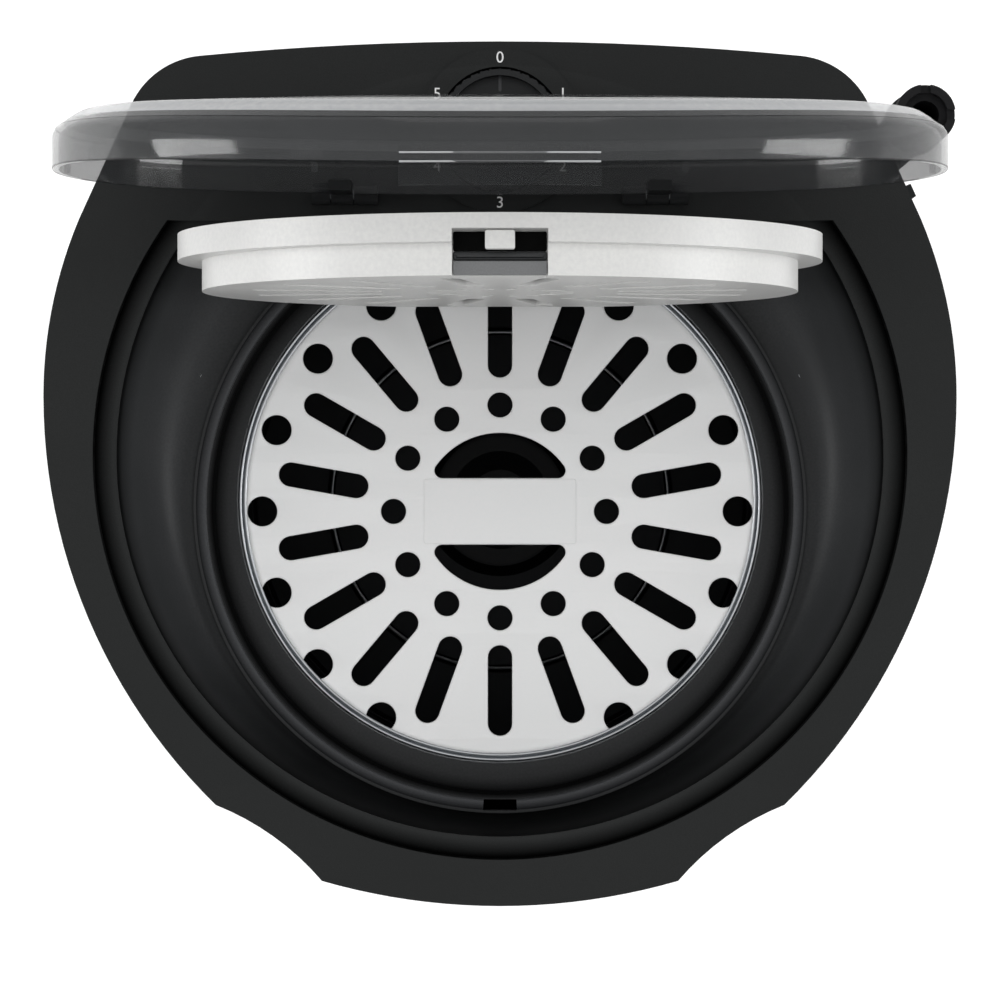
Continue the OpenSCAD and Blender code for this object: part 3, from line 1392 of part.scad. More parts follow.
base_pan();
feet();
body_shell();
rear_cover();
rear_screws();
side_grips();
top_deck();
deck_screws();
bowl();
bowl_rear_wall();
throat_ring();
ring_screws();
tub();
tub_struts();
bellows();
motor_plate();
suspension_springs();
spring_seats();
spring_caps();
motor_housing();
motor_end_cap();
stator();
windings();
rotor();
motor_shaft();
bearings();
brake_drum();
brake_band();
brake_lever();
brake_cable();
capacitor();
terminal_box();
cord_gland();
drain_pipe();
drain_elbow();
drain_hose();
hose_end();
hose_clip();
basket_wall_sheet();
basket_rim();
basket_floor();
basket_hub();
hub_nut();
press_disc();
dial_bezel();
timer_unit();
timer_knob();
lid_switch();
lid_hinge_lugs();
lid_pins();
clear_lid();
lid_arms();
lid_bumpers();
lid_lip();
inner_lid();
inner_lid_latch();
inner_hinge_lugs();
inner_pins();
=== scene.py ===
"""Looks of a top-loading laundry spin dryer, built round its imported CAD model."""

import json
import math
from types import SimpleNamespace

import bmesh
import bpy
from mathutils import Matrix, Vector

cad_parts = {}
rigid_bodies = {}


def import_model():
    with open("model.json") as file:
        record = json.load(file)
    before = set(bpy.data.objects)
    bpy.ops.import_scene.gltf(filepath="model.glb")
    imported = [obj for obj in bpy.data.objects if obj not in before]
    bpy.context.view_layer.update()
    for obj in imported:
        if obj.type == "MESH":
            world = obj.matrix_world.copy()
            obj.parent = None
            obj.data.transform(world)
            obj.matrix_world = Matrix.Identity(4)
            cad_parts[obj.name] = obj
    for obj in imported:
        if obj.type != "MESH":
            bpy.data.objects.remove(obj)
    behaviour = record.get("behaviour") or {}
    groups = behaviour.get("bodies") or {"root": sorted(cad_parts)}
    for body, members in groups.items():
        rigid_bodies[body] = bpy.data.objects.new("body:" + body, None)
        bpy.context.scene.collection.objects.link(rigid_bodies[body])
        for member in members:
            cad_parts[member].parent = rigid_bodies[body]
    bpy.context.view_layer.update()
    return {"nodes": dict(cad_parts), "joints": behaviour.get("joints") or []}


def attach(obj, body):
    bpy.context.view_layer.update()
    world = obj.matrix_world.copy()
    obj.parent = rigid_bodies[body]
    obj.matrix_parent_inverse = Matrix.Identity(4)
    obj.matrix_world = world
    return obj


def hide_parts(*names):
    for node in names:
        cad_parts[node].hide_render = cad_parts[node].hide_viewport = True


bl_info = {
    "name": "Laundry spin dryer looks",
    "version": (1, 0, 0),
    "blender": (4, 5, 0),
    "location": "View3D > Sidebar > Dryer",
    "description": "Builds the visible pieces, materials and studio of a spin dryer",
    "category": "Object",
}

for leftover in list(bpy.data.objects):
    bpy.data.objects.remove(leftover)
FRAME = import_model()

MM = 0.001
# Where each joint of the CAD model turns, in millimetres.
PIVOTS = {joint["name"]: [c / MM for c in joint["pos_m"]] for joint in FRAME["joints"] if "pos_m" in joint}
# The painted light and shade of some surfaces and the shapes of the pieces share these places, in
# millimetres.
OPENING_Y, THROAT_Y, BOWL_REAR_Y = 9.5, -16.3, 126.7
PLASTIC_IOR = 1.5
GRAIN_DEPTH = 0.4 * MM


# ---------------------------------------------------------------- colours and surfaces

def linear(hex_colour):
    """A #rrggbb colour as linear RGBA."""
    out = []
    for i in (1, 3, 5):
        c = int(hex_colour[i:i + 2], 16) / 255
        out.append(c / 12.92 if c <= 0.04045 else ((c + 0.055) / 1.055) ** 2.4)
    return out + [1.0]


# Each surface has two close tones, a roughness, the width of its grain in millimetres and how strongly the
# grain stands out. A moulding's real grain is 0.05 to 0.2 mm wide, too fine to show, so it is drawn coarser.
SURFACES = {
    # ABS moulded against a spark-eroded tool: a fine, even grain that leaves no clear reflection.
    "moulded_abs_charcoal": dict(
        colour="#232526", second="#292b2c", rough=0.55, grain_mm=0.9, bump=0.3, specular=0.1, broad_mm=260,
        spread=0.02),
    # The same ABS, a little rubbed by hands; on the shelf round the opening a slight painted highlight, then
    # painted shade darkening it into its corner at the bowl.
    "moulded_abs_deck": dict(
        colour="#222323", second="#262727", rough=0.58, grain_mm=0.7, bump=0.2, specular=0.07, wear=0.04,
        painted_light_zones=[("radius", OPENING_Y,
                [(188, 1.0), (194, 1.1), (198, 0.6), (202, 0.12), (203.2, 0.02), (203.6, 1.0)],
                BOWL_REAR_Y)]),
    # Polypropylene moulded on a satin tool: near black, with a soft broad highlight.
    "satin_polypropylene_black": dict(
        colour="#1b1c1d", second="#212223", rough=0.42, grain_mm=0.6, bump=0.2, specular=0.16, wear=0.05),
    # Polypropylene moulded on a polished tool: smooth; a painted highlight at mid depth, and painted shade up
    # towards the deck and under the front edge.
    "polished_polypropylene_bowl": dict(
        colour="#252627", second="#2b2c2d", rough=0.4, grain_mm=1.2, bump=0.08, specular=0.09,
        painted_light_zones=[("Z", 0, [(541, 0.9), (548, 1.5), (575, 1.5), (592, 0.7), (602, 0.12), (612, 0.02)]),
               ("Y", 0, [(-200, 0.1), (-150, 0.25), (-90, 0.8), (-20, 1.0), (200, 1.0)])]),
    # Dark grey polypropylene, moulded smooth: a flat ring, with painted shade beside the basket and beside
    # the band.
    "moulded_polypropylene_ring": dict(
        colour="#393a3b", second="#414243", rough=0.46, grain_mm=1.2, bump=0.1, specular=0.17,
        painted_light_zones=[("radius", THROAT_Y,
                [(136, 0.55), (142, 0.45), (147, 0.2), (149.5, 0.05), (151, 0.2), (153, 0.7), (160, 0.5)])]),
    # The same polypropylene on the rounded band, with a painted highlight on its crown and painted shade at
    # its outer foot.
    "moulded_polypropylene_band": dict(
        colour="#28292b", second="#2f3032", rough=0.4, grain_mm=1.0, bump=0.1, specular=0.16,
        painted_light_zones=[("radius", THROAT_Y, [(151, 1.0), (153.2, 1.4), (155.5, 0.9), (158, 0.3), (159.5, 0.1)])]),
    # Vulcanised EPDM rubber: dull and dark, with hardly any sheen.
    "vulcanised_rubber": dict(
        colour="#151516", second="#1c1c1d", rough=0.72, grain_mm=0.7, bump=0.4, specular=0.13),
    # Extruded and corrugated PVC: a softer black with a faint sheen along each rib.
    "corrugated_pvc": dict(
        colour="#161718", second="#1c1d1e", rough=0.5, grain_mm=1.5, bump=0.25, specular=0.16),
    # White ABS moulded on a polished tool: clean and slightly glossy.
    "moulded_abs_white": dict(
        colour="#cfcfce", second="#d8d8d6", rough=0.36, grain_mm=2.0, bump=0.04, specular=0.3),
    # White polypropylene, as moulded: paler and duller than the lid, almost without highlights.
    "moulded_polypropylene_white": dict(
        colour="#e8e9e9", second="#eaeaea", rough=0.45, grain_mm=1.6, bump=0.04, specular=0.2),
    # Acetal, as moulded: the catch in grey, and in dark grey and black where painted shade darkens its roll
    # and the back deep in the notch, each with a weak, waxy sheen.
    "moulded_acetal_grey": dict(
        colour="#6b6c6d", second="#737475", rough=0.42, grain_mm=0.8, bump=0.2, specular=0.2),
    "moulded_acetal_painted_shade": dict(
        colour="#343536", second="#3a3b3c", rough=0.38, grain_mm=0.8, bump=0.2, specular=0.2),
    "moulded_acetal_painted_deep_shade": dict(
        colour="#040404", second="#060606", rough=0.6, grain_mm=0.8, bump=0.2, specular=0.05),
    # A moulded ABS insert: the knob's pointer, shinier than the knob round it.
    "moulded_abs_pointer": dict(
        colour="#202123", second="#27282b", rough=0.4, grain_mm=0.8, bump=0.2),
    # Stainless steel, brushed: bright, with highlights drawn out by the brushing.
    "brushed_stainless_steel": dict(
        colour="#babdc0", second="#c8cbce", rough=0.34, grain_mm=0.5, bump=0.1, metal=1.0,
        stretch=(1, 1, 12)),
    # Stainless steel, rolled and punched: the basket's wall and floor, darkened with painted shade for down
    # in the tub.
    "rolled_stainless_steel_in_painted_shade": dict(
        colour="#1d1e20", second="#252627", rough=0.4, grain_mm=0.5, bump=0.12, metal=0.8,
        stretch=(1, 1, 12)),
    # Zinc-plated steel: a cool grey with a blurred shine.
    "zinc_plated_steel": dict(
        colour="#95989c", second="#aaadb1", rough=0.36, grain_mm=0.8, bump=0.15, metal=1.0),
    # Die-cast aluminium: a rough cast skin, matt grey.
    "die_cast_aluminium": dict(
        colour="#75787c", second="#878b8e", rough=0.5, grain_mm=1.4, bump=0.5, metal=0.9),
    # Enamelled copper wire, wound: warm, with a streaky grain.
    "enamelled_copper": dict(
        colour="#b25e30", second="#cf753e", rough=0.4, grain_mm=0.5, bump=0.5, metal=0.8, stretch=(1, 1, 6)),
    # Pad-printed ink: the numbers, flat white.
    "printed_white_ink": dict(
        colour="#d2d2d2", second="#e1e1e1", rough=0.45, grain_mm=0.8, bump=0.05, specular=0.2),
    # Smoked acrylic, moulded and polished: dark glass that lets half of what lies behind show.
    "smoked_acrylic": dict(
        colour="#333536", second="#3c3d3f", rough=0.08, grain_mm=3.0, bump=0.01, alpha=0.48),
    # The same acrylic where it is thin: hardly a tint.
    "smoked_acrylic_thin": dict(
        colour="#373839", second="#3e4041", rough=0.3, grain_mm=3.0, bump=0.0, alpha=0.12, specular=0.1),
    # The same acrylic seen along its edge, where it is deep: a dark line.
    "smoked_acrylic_deep": dict(
        colour="#101112", second="#141516", rough=0.3, grain_mm=3.0, bump=0.0, alpha=0.7, specular=0.1),
    # The same acrylic on the sloping rim, with a painted highlight: a pale strip.
    "smoked_acrylic_painted_highlight": dict(
        colour="#bdbfc1", second="#cbcccd", rough=0.2, grain_mm=3.0, bump=0.02, alpha=0.66, specular=0.3),
    # Uncoated studio paper: matt white, with slow unevenness.
    "studio_paper": dict(
        colour="#f4f4f4", second="#f7f7f7", rough=0.8, grain_mm=40, bump=0.02, specular=0.1, broad_mm=900),
}

NODE_SURFACES = {
    "moulded_abs_charcoal": ("body_shell", "hose_clip", "drain_pipe", "tub_struts", "base_pan"),
    "moulded_abs_deck": ("top_deck", "dial_bezel"),
    "satin_polypropylene_black": ("side_grips", "rear_cover", "deck_screws", "bowl_rear_wall", "tub",
                                  "brake_band", "terminal_box", "drain_elbow", "basket_hub", "timer_knob",
                                  "lid_switch", "lid_hinge_lugs", "lid_arms", "inner_hinge_lugs"),
    "polished_polypropylene_bowl": ("bowl",),
    "moulded_polypropylene_ring": ("throat_ring",),
    "vulcanised_rubber": ("feet", "hose_end", "bellows", "spring_seats", "spring_caps", "brake_cable",
                          "cord_gland"),
    "corrugated_pvc": ("drain_hose",),
    "moulded_abs_white": ("inner_lid", "capacitor"),
    "moulded_polypropylene_white": ("press_disc",),
    "moulded_acetal_grey": ("inner_lid_latch",),
    "rolled_stainless_steel_in_painted_shade": ("basket_wall_sheet", "basket_floor"),
    "brushed_stainless_steel": ("basket_rim", "hub_nut", "motor_shaft", "bearings", "lid_pins", "inner_pins",
                                "rear_screws", "ring_screws", "suspension_springs"),
    "zinc_plated_steel": ("motor_plate", "stator", "rotor", "brake_lever", "timer_unit"),
    "die_cast_aluminium": ("motor_housing", "motor_end_cap", "brake_drum"),
    "enamelled_copper": ("windings",),
    "smoked_acrylic": ("clear_lid",),
    "smoked_acrylic_thin": ("lid_lip", "lid_bumpers"),
}


# ---------------------------------------------------------------- settings

def length(name, default_mm, description):
    """A length for the sidebar, written here in millimetres and kept in metres."""
    return bpy.props.FloatProperty(name=name, description=description, default=default_mm * MM,
                                   unit="LENGTH", precision=4)


class DRYER_PG_sizes(bpy.types.PropertyGroup):
    """Sizes of the visible pieces. X runs right, Y to the back and heights start at the floor."""
    bend_r: length("Deck bend radius", 1572, "Radius on which the deck falls away to the front")
    bend_y: length("Deck bend start", 7, "Y in front of which the deck falls away")
    opening_r: length("Opening radius", 192.5, "Radius of the bowl at the deck")
    opening_y: length("Opening centre", OPENING_Y, "Y of the middle of the opening in the deck")
    bowl_top: length("Bowl top", 608.7, "Height of the bowl's edge behind the bend")
    bowl_foot: length("Bowl foot", 543.1, "Height at which the bowl meets the throat ring")
    bowl_foot_r: length("Bowl foot radius", 159.5, "Radius of the bowl where it meets the throat ring")
    bowl_wall: length("Bowl wall", 2.4, "Thickness of the bowl")
    bowl_rear_y: length("Bowl rear cut", BOWL_REAR_Y, "Y at which the straight rear wall cuts the bowl")
    throat_y: length("Throat centre", THROAT_Y, "Y of the middle of the throat ring")
    band_top: length("Band top", 547.15, "Height of the crown of the band round the throat")
    spin_y: length("Spin axis", PIVOTS["basket_spin"][1], "Y of the basket's axis")
    rim_top: length("Basket rim", 525, "Height of the basket's rolled rim")
    disc_r: length("Disc radius", 141.4, "Outer radius of the press disc")
    disc_y: length("Disc centre", -19, "Y of the middle of the press disc")
    disc_top: length("Disc top", 520, "Height of the press disc's upper face")
    disc_thick: length("Disc thickness", 4, "Thickness of the press disc")
    holes: bpy.props.IntProperty(name="Holes", description="Round holes near the disc's middle", default=12)
    hole_r: length("Hole radius", 6.6, "Radius of the round holes near the disc's middle")
    hole_ring: length("Hole ring", 56, "Radius on which those holes lie")
    slots: bpy.props.IntProperty(name="Slots", description="Long slots in the disc", default=18)
    slot_width: length("Slot width", 12.7, "Width of the disc's slots")
    slot_length: length("Slot length", 47.7, "Length of the disc's slots, round ends included")
    slot_ring: length("Slot ring", 94.2, "Radius on which the middles of the slots lie")
    side_hole_r: length("Side hole radius", 7.9, "Radius of the round holes outside the slots")
    side_hole_ring: length("Side hole ring", 125, "Radius on which those holes lie")
    bar_width: length("Plate width", 80, "Width of the bare plate on the disc's bar")
    bar_depth: length("Plate depth", 34.2, "Depth of the bare plate on the disc's bar")
    finger_r: length("Finger opening radius", 41.3, "Outer radius of the two finger openings")
    finger_gap: length("Bar half width", 17.5, "From the disc's middle to the straight side of an opening")
    finger_corner: length("Finger opening corner", 4, "Radius of the corners of the finger openings")
    lid_r: length("Lid radius", 206.5, "Radius of the clear lid's front and sides")
    lid_reach: length("Lid reach", 129.5, "From the clear lid's hinge to its middle")
    lid_rear_r: length("Lid rear radius", 410, "Radius of the clear lid's flat rear edge")
    lid_corner_r: length("Lid corner radius", 118, "Radius that joins the sides to the rear edge")
    lid_gap: length("Hinge to rear edge", 5, "From the hinge to the clear lid's rear edge")
    lid_wall: length("Lid wall", 3, "Thickness of the clear lid")
    lid_rise: length("Lid dome", 4.5, "Rise of the clear lid's top towards its middle")
    lid_skirt: length("Lid skirt", 17.5, "Height of the clear lid's upright side")
    lid_slope_w: length("Lid slope width", 12, "Width of the sloping rim between skirt and top")
    lid_slope_h: length("Lid slope height", 8, "Height of the sloping rim between skirt and top")
    lid_shift: length("Lid shift", -0.5, "From the hinge to the lower edge of the skirt, across the lid")
    lid_hinge_y: length("Lid hinge", PIVOTS["lid_hinge"][1], "Y of the clear lid's hinge")
    lid_hinge_z: length("Lid hinge height", PIVOTS["lid_hinge"][2], "Height of the clear lid's hinge")
    dial_y: length("Dial centre", PIVOTS["timer_turn"][1], "Y of the timer knob's axis")
    number_r: length("Number ring", 36.2, "Radius on which the dial's numbers stand")
    number_size: length("Number size", 8, "Size of the dial's numbers")
    number_z: length("Number height", 621.15, "Height of the printed numbers")
    knob_r: length("Knob radius", 30.2, "Radius on which the knob's ribs stand")
    knob_z: length("Knob rib height", 617, "Height of the middle of the knob's ribs")
    rib_length: length("Rib length", 8, "Length of one rib of the knob")
    rib_r: length("Rib radius", 0.75, "Radius of one rib of the knob")
    ribs: bpy.props.IntProperty(name="Ribs", description="Ribs round the knob", default=40, min=3)
    hose_x: length("Hose centre X", 213, "X of the drain hose")
    hose_y: length("Hose centre Y", 180.05, "Y of the drain hose")
    hose_low: length("Hose foot", 120, "Height of the drain hose's lower end")
    hose_high: length("Hose top", 600, "Height of the drain hose's upper end")
    hose_cuff: length("Hose cuff", 26, "Length of the smooth cuff at each end of the hose")
    hose_pitch: length("Hose pitch", 5, "Distance from one rib of the hose to the next")


class DRYER_PG_colours(bpy.types.PropertyGroup):
    """The main colour of each surface. Its second tone keeps its distance from it."""
    __annotations__ = {
        key: bpy.props.FloatVectorProperty(
            name=key.replace("_", " ").capitalize(), description="Main colour, kept as a linear one",
            default=linear(look["colour"])[:3], subtype="COLOR", min=0.0, max=1.0)
        for key, look in SURFACES.items()}


def sizes():
    """The sidebar's lengths in millimetres and its counts, by name."""
    kept = bpy.context.scene.dryer_sizes
    values = {}
    for name in DRYER_PG_sizes.__annotations__:
        value = getattr(kept, name)
        values[name] = value if isinstance(value, int) else round(value / MM, 4)
    return SimpleNamespace(**values)


def drop(s, y):
    """How far the deck lies below its rear level at y, in millimetres."""
    if y >= s.bend_y:
        return 0.0
    return s.bend_r - math.sqrt(s.bend_r ** 2 - (s.bend_y - y) ** 2)


# ---------------------------------------------------------------- mesh tools

def place(name, mesh, body, surface, angle=35):
    """An object of a finished mesh, smoothed up to an angle in degrees, riding on a body."""
    bm = bmesh.new()
    bm.from_mesh(mesh)
    bmesh.ops.recalc_face_normals(bm, faces=bm.faces)
    bm.to_mesh(mesh)
    bm.free()
    obj = bpy.data.objects.new(name, mesh)
    bpy.context.scene.collection.objects.link(obj)
    mesh.materials.clear()
    mesh.materials.append(surface)
    mesh.shade_smooth()
    mesh.set_sharp_from_angle(angle=math.radians(angle))
    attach(obj, body)
    return obj


def new_mesh(name, verts, faces, body, surface, angle=35):
    """A piece from points in millimetres and the faces between them."""
    mesh = bpy.data.meshes.new(name)
    mesh.from_pydata([[c * MM for c in v] for v in verts], [], faces)
    mesh.validate()
    return place(name, mesh, body, surface, angle)


def baked(name, obj, body, surface):
    """The evaluated shape of obj as a plain mesh piece; obj itself goes."""
    bpy.context.view_layer.update()
    deps = bpy.context.evaluated_depsgraph_get()
    mesh = bpy.data.meshes.new_from_object(obj.evaluated_get(deps))
    mesh.transform(obj.matrix_world)
    old = obj.data
    bpy.data.objects.remove(obj)
    if isinstance(old, bpy.types.Curve):
        bpy.data.curves.remove(old)
    mesh.name = name
    return place(name, mesh, body, surface)


def join(a, b, sides):
    """The faces between two closed rows of points, of which a mesh holds one after another."""
    return [(a * sides + i, a * sides + (i + 1) % sides, b * sides + (i + 1) % sides, b * sides + i)
            for i in range(sides)]


def lathe(name, profile, centre, body, surface, steps=192, angle=35, gap=None):
    """Turns a closed (radius, height) outline round a vertical axis, all round or up to a gap in degrees."""
    start, sweep = (gap[1], 360 + gap[0] - gap[1]) if gap else (0, 360)
    spans = steps - 1 if gap else steps
    verts, faces, n = [], [], len(profile)
    for k in range(steps):
        a = math.radians(start + sweep * k / spans)
        verts += [(centre[0] + r * math.cos(a), centre[1] + r * math.sin(a), z) for r, z in profile]
    for k in range(spans):
        m = (k + 1) % steps
        faces += [(k * n + i, k * n + (i + 1) % n, m * n + (i + 1) % n, m * n + i) for i in range(n)]
    if gap:
        faces += [tuple(range(n)), tuple((steps - 1) * n + i for i in reversed(range(n)))]
    return new_mesh(name, verts, faces, body, surface, angle)


def arc(r, first, last, steps, centre=(0, 0)):
    """Points on an arc from one angle in degrees to another, both ends with it."""
    turns = [math.radians(first + (last - first) * i / steps) for i in range(steps + 1)]
    return [(centre[0] + r * math.cos(t), centre[1] + r * math.sin(t)) for t in turns]


def circle(r, sides, centre=(0, 0)):
    """The outline of a round hole or edge."""
    return arc(r, 0, 360, sides, centre)[:-1]


def slot_outline(width, length_mm, middle, angle):
    """A slot with round ends whose middle lies at a radius and angle."""
    half, r = (length_mm - width) / 2, width / 2
    pts = arc(r, -90, 90, 12, (middle + half, 0)) + arc(r, 90, 270, 12, (middle - half, 0))
    c, s = math.cos(math.radians(angle)), math.sin(math.radians(angle))
    return [(x * c - y * s, x * s + y * c) for x, y in pts]


def rounded_box(w, h, r, middle_y=0):
    """The outline of a rectangle with round corners."""
    x, y = w / 2 - r, h / 2 - r
    corners = (x, y, 0), (-x, y, 90), (-x, -y, 180), (x, -y, 270)
    return [p for cx, cy, start in corners for p in arc(r, start, start + 90, 8, (cx, cy + middle_y))]


def plate(name, outlines, z0, z1, bevel, at_y, body, surface):
    """A flat moulding with holes and rounded edges: the first outline is its edge."""
    curve = bpy.data.curves.new(name, "CURVE")
    curve.dimensions = "2D"
    curve.fill_mode = "BOTH"
    curve.extrude = ((z1 - z0) / 2 - bevel) * MM
    curve.bevel_depth = bevel * MM
    curve.bevel_resolution = 2
    curve.offset = -bevel * MM
    for pts in outlines:
        spline = curve.splines.new("POLY")
        spline.points.add(len(pts) - 1)
        for point, (x, y) in zip(spline.points, pts):
            point.co = (x * MM, y * MM, 0, 1)
        spline.use_cyclic_u = True
    flat = bpy.data.objects.new(name + "_curve", curve)
    bpy.context.scene.collection.objects.link(flat)
    bpy.context.view_layer.update()
    deps = bpy.context.evaluated_depsgraph_get()
    mesh = bpy.data.meshes.new_from_object(flat.evaluated_get(deps))
    bpy.data.objects.remove(flat)
    bpy.data.curves.remove(curve)
    mesh.name = name
    mesh.transform(Matrix.Translation((0, at_y * MM, (z0 + z1) / 2 * MM)))
    bm = bmesh.new()
    bm.from_mesh(mesh)
    bmesh.ops.remove_doubles(bm, verts=bm.verts, dist=1e-6)
    bm.to_mesh(mesh)
    bm.free()
    return place(name, mesh, body, surface)


# ---------------------------------------------------------------- materials

def add(tree, kind, inputs=None, stops=(), **chosen):
    """Adds a node with its settings, its colour stops, and a value or a link for each of its inputs."""
    node = tree.nodes.new(kind)
    for name, value in chosen.items():
        setattr(node, name, value)
    if stops:
        marks = node.color_ramp.elements
        while len(marks) < len(stops):
            marks.new(0.5)
        for mark, (at, colour) in zip(marks, stops):
            mark.position = at
            mark.color = colour
    fill(tree, node, inputs or {})
    return node


def fill(tree, node, inputs):
    """Gives sockets of a node their values, or links them."""
    for socket, value in inputs.items():
        if isinstance(value, bpy.types.NodeSocket):
            tree.links.new(value, node.inputs[socket])
        else:
            node.inputs[socket].default_value = value


def shade_zone(nt, here, along, centre_y, stops, rear=None):
    """A grey factor of painted light and shade by the distance from a vertical axis, or by Y or Z, in
    millimetres; 1 behind rear.
    """
    if along == "radius":
        centred = add(nt, "ShaderNodeVectorMath", {0: here, 1: (0, centre_y * MM, 0)}, operation="SUBTRACT")
        flat = add(nt, "ShaderNodeVectorMath", {0: centred.outputs[0], 1: (1, 1, 0)}, operation="MULTIPLY")
        reach = add(nt, "ShaderNodeVectorMath", {0: flat.outputs[0]}, operation="LENGTH").outputs["Value"]
    else:
        reach = add(nt, "ShaderNodeSeparateXYZ", {"Vector": here}).outputs[along]
    low, high = stops[0][0], stops[-1][0]
    share = add(nt, "ShaderNodeMapRange", {"Value": reach, "From Min": low * MM, "From Max": high * MM})
    greys = [((at - low) / (high - low), (grey, grey, grey, 1)) for at, grey in stops]
    shade = add(nt, "ShaderNodeValToRGB", {"Fac": share.outputs["Result"]}, greys).outputs["Color"]
    if rear is None:
        return shade
    y = add(nt, "ShaderNodeSeparateXYZ", {"Vector": here}).outputs["Y"]
    behind = add(nt, "ShaderNodeMath", {0: y, 1: rear * MM}, operation="GREATER_THAN").outputs[0]
    return add(nt, "ShaderNodeMath", {0: behind, 1: shade}, operation="MAXIMUM").outputs[0]


def finish(name, first, second, rough, grain_mm, bump, metal=0.0, stretch=(1, 1, 1), wear=0.0, alpha=1.0,
           specular=0.5, broad_mm=90, spread=0.06, painted_light_zones=()):
    """A moulded or metal surface: two close tones, a fine grain, broad unevenness, a worn sheen, and any
    painted light and shade.
    """
    made = bpy.data.materials.new(name)
    made.use_nodes = True
    nt = made.node_tree
    bsdf = nt.nodes["Principled BSDF"]
    here = add(nt, "ShaderNodeTexCoord").outputs["Object"]
    drawn = add(nt, "ShaderNodeMapping", {"Vector": here, "Scale": stretch}).outputs["Vector"]
    noises = [add(nt, "ShaderNodeTexNoise", {"Vector": at, "Scale": 1 / MM / size_mm, "Detail": detail})
              for at, size_mm, detail in ((here, broad_mm, 3), (drawn, grain_mm, 4))]
    broad, grain = [noise.outputs["Fac"] for noise in noises]
    both = add(nt, "ShaderNodeMath", {0: broad, 1: grain}, operation="MULTIPLY").outputs[0]
    tone = add(nt, "ShaderNodeValToRGB", {"Fac": both}, [(0.15, first), (0.4, second)]).outputs["Color"]
    sheen = specular
    # Each zone paints light and shade: it multiplies the colour and the level of the sheen.
    for zone in painted_light_zones:
        shade = shade_zone(nt, here, *zone)
        tone = add(nt, "ShaderNodeMix", {"Factor": 1.0, "A": tone, "B": shade},
                   data_type="RGBA", blend_type="MULTIPLY").outputs["Result"]
        sheen = add(nt, "ShaderNodeMath", {0: shade, 1: sheen}, operation="MULTIPLY").outputs[0]
    dull = add(nt, "ShaderNodeMapRange", {
        "Value": broad, "From Min": 0.3, "From Max": 0.7,
        "To Min": max(0.02, rough - spread - wear), "To Max": min(1.0, rough + spread)}).outputs["Result"]
    relief = add(nt, "ShaderNodeBump", {"Strength": bump, "Distance": GRAIN_DEPTH, "Height": grain})
    # The level of the sheen is also set as a number, for a reader that drops the link on the surfaces with
    # painted light and shade.
    fill(nt, bsdf, {"Base Color": tone, "Roughness": dull, "Normal": relief.outputs["Normal"],
                    "Metallic": metal, "Alpha": alpha, "Specular IOR Level": specular})
    if metal == 0:
        fill(nt, bsdf, {"IOR": PLASTIC_IOR})
    if painted_light_zones:
        fill(nt, bsdf, {"Specular IOR Level": sheen})
    return made


def material(key):
    """The surface of that name in the sidebar's colour, made when it is first asked for."""
    if key in bpy.data.materials:
        return bpy.data.materials[key]
    look = dict(SURFACES[key])
    first, second = linear(look.pop("colour")), linear(look.pop("second"))
    chosen = list(getattr(bpy.context.scene.dryer_colours, key)) + [1.0]
    return finish(key, chosen, [b * c / a for a, b, c in zip(first, second, chosen)], **look)


# ---------------------------------------------------------------- operators

class DRYER_OT_camera(bpy.types.Operator):
    """Puts the camera straight above the dryer, at the photograph's angle"""
    bl_idname = "dryer.camera"
    bl_label = "Camera"

    def execute(self, context):
        # 1.9 m over the deck: the depths at which the photograph's scales agree with one camera.
        data = bpy.data.cameras.new("camera")
        data.lens = 137
        data.sensor_width = 36
        data.clip_end = 30
        cam = bpy.data.objects.new("camera", data)
        cam.location = (0, -0.013, 2.520)
        context.scene.collection.objects.link(cam)
        context.scene.camera = cam
        return {"FINISHED"}


class DRYER_OT_frame_surfaces(bpy.types.Operator):
    """Gives every CAD node its surface and smooths its shading"""
    bl_idname = "dryer.frame_surfaces"
    bl_label = "CAD surfaces"

    def execute(self, context):
        for key, names in NODE_SURFACES.items():
            for name in names:
                slots = FRAME["nodes"][name].data.materials
                slots.clear()
                slots.append(material(key))
        for obj in FRAME["nodes"].values():
            weld = obj.modifiers.new("weld", "WELD")
            weld.merge_threshold = 0.01 * MM
            crease = obj.modifiers.new("crease", "EDGE_SPLIT")
            crease.split_angle = math.radians(28)
            obj.data.shade_smooth()
        return {"FINISHED"}


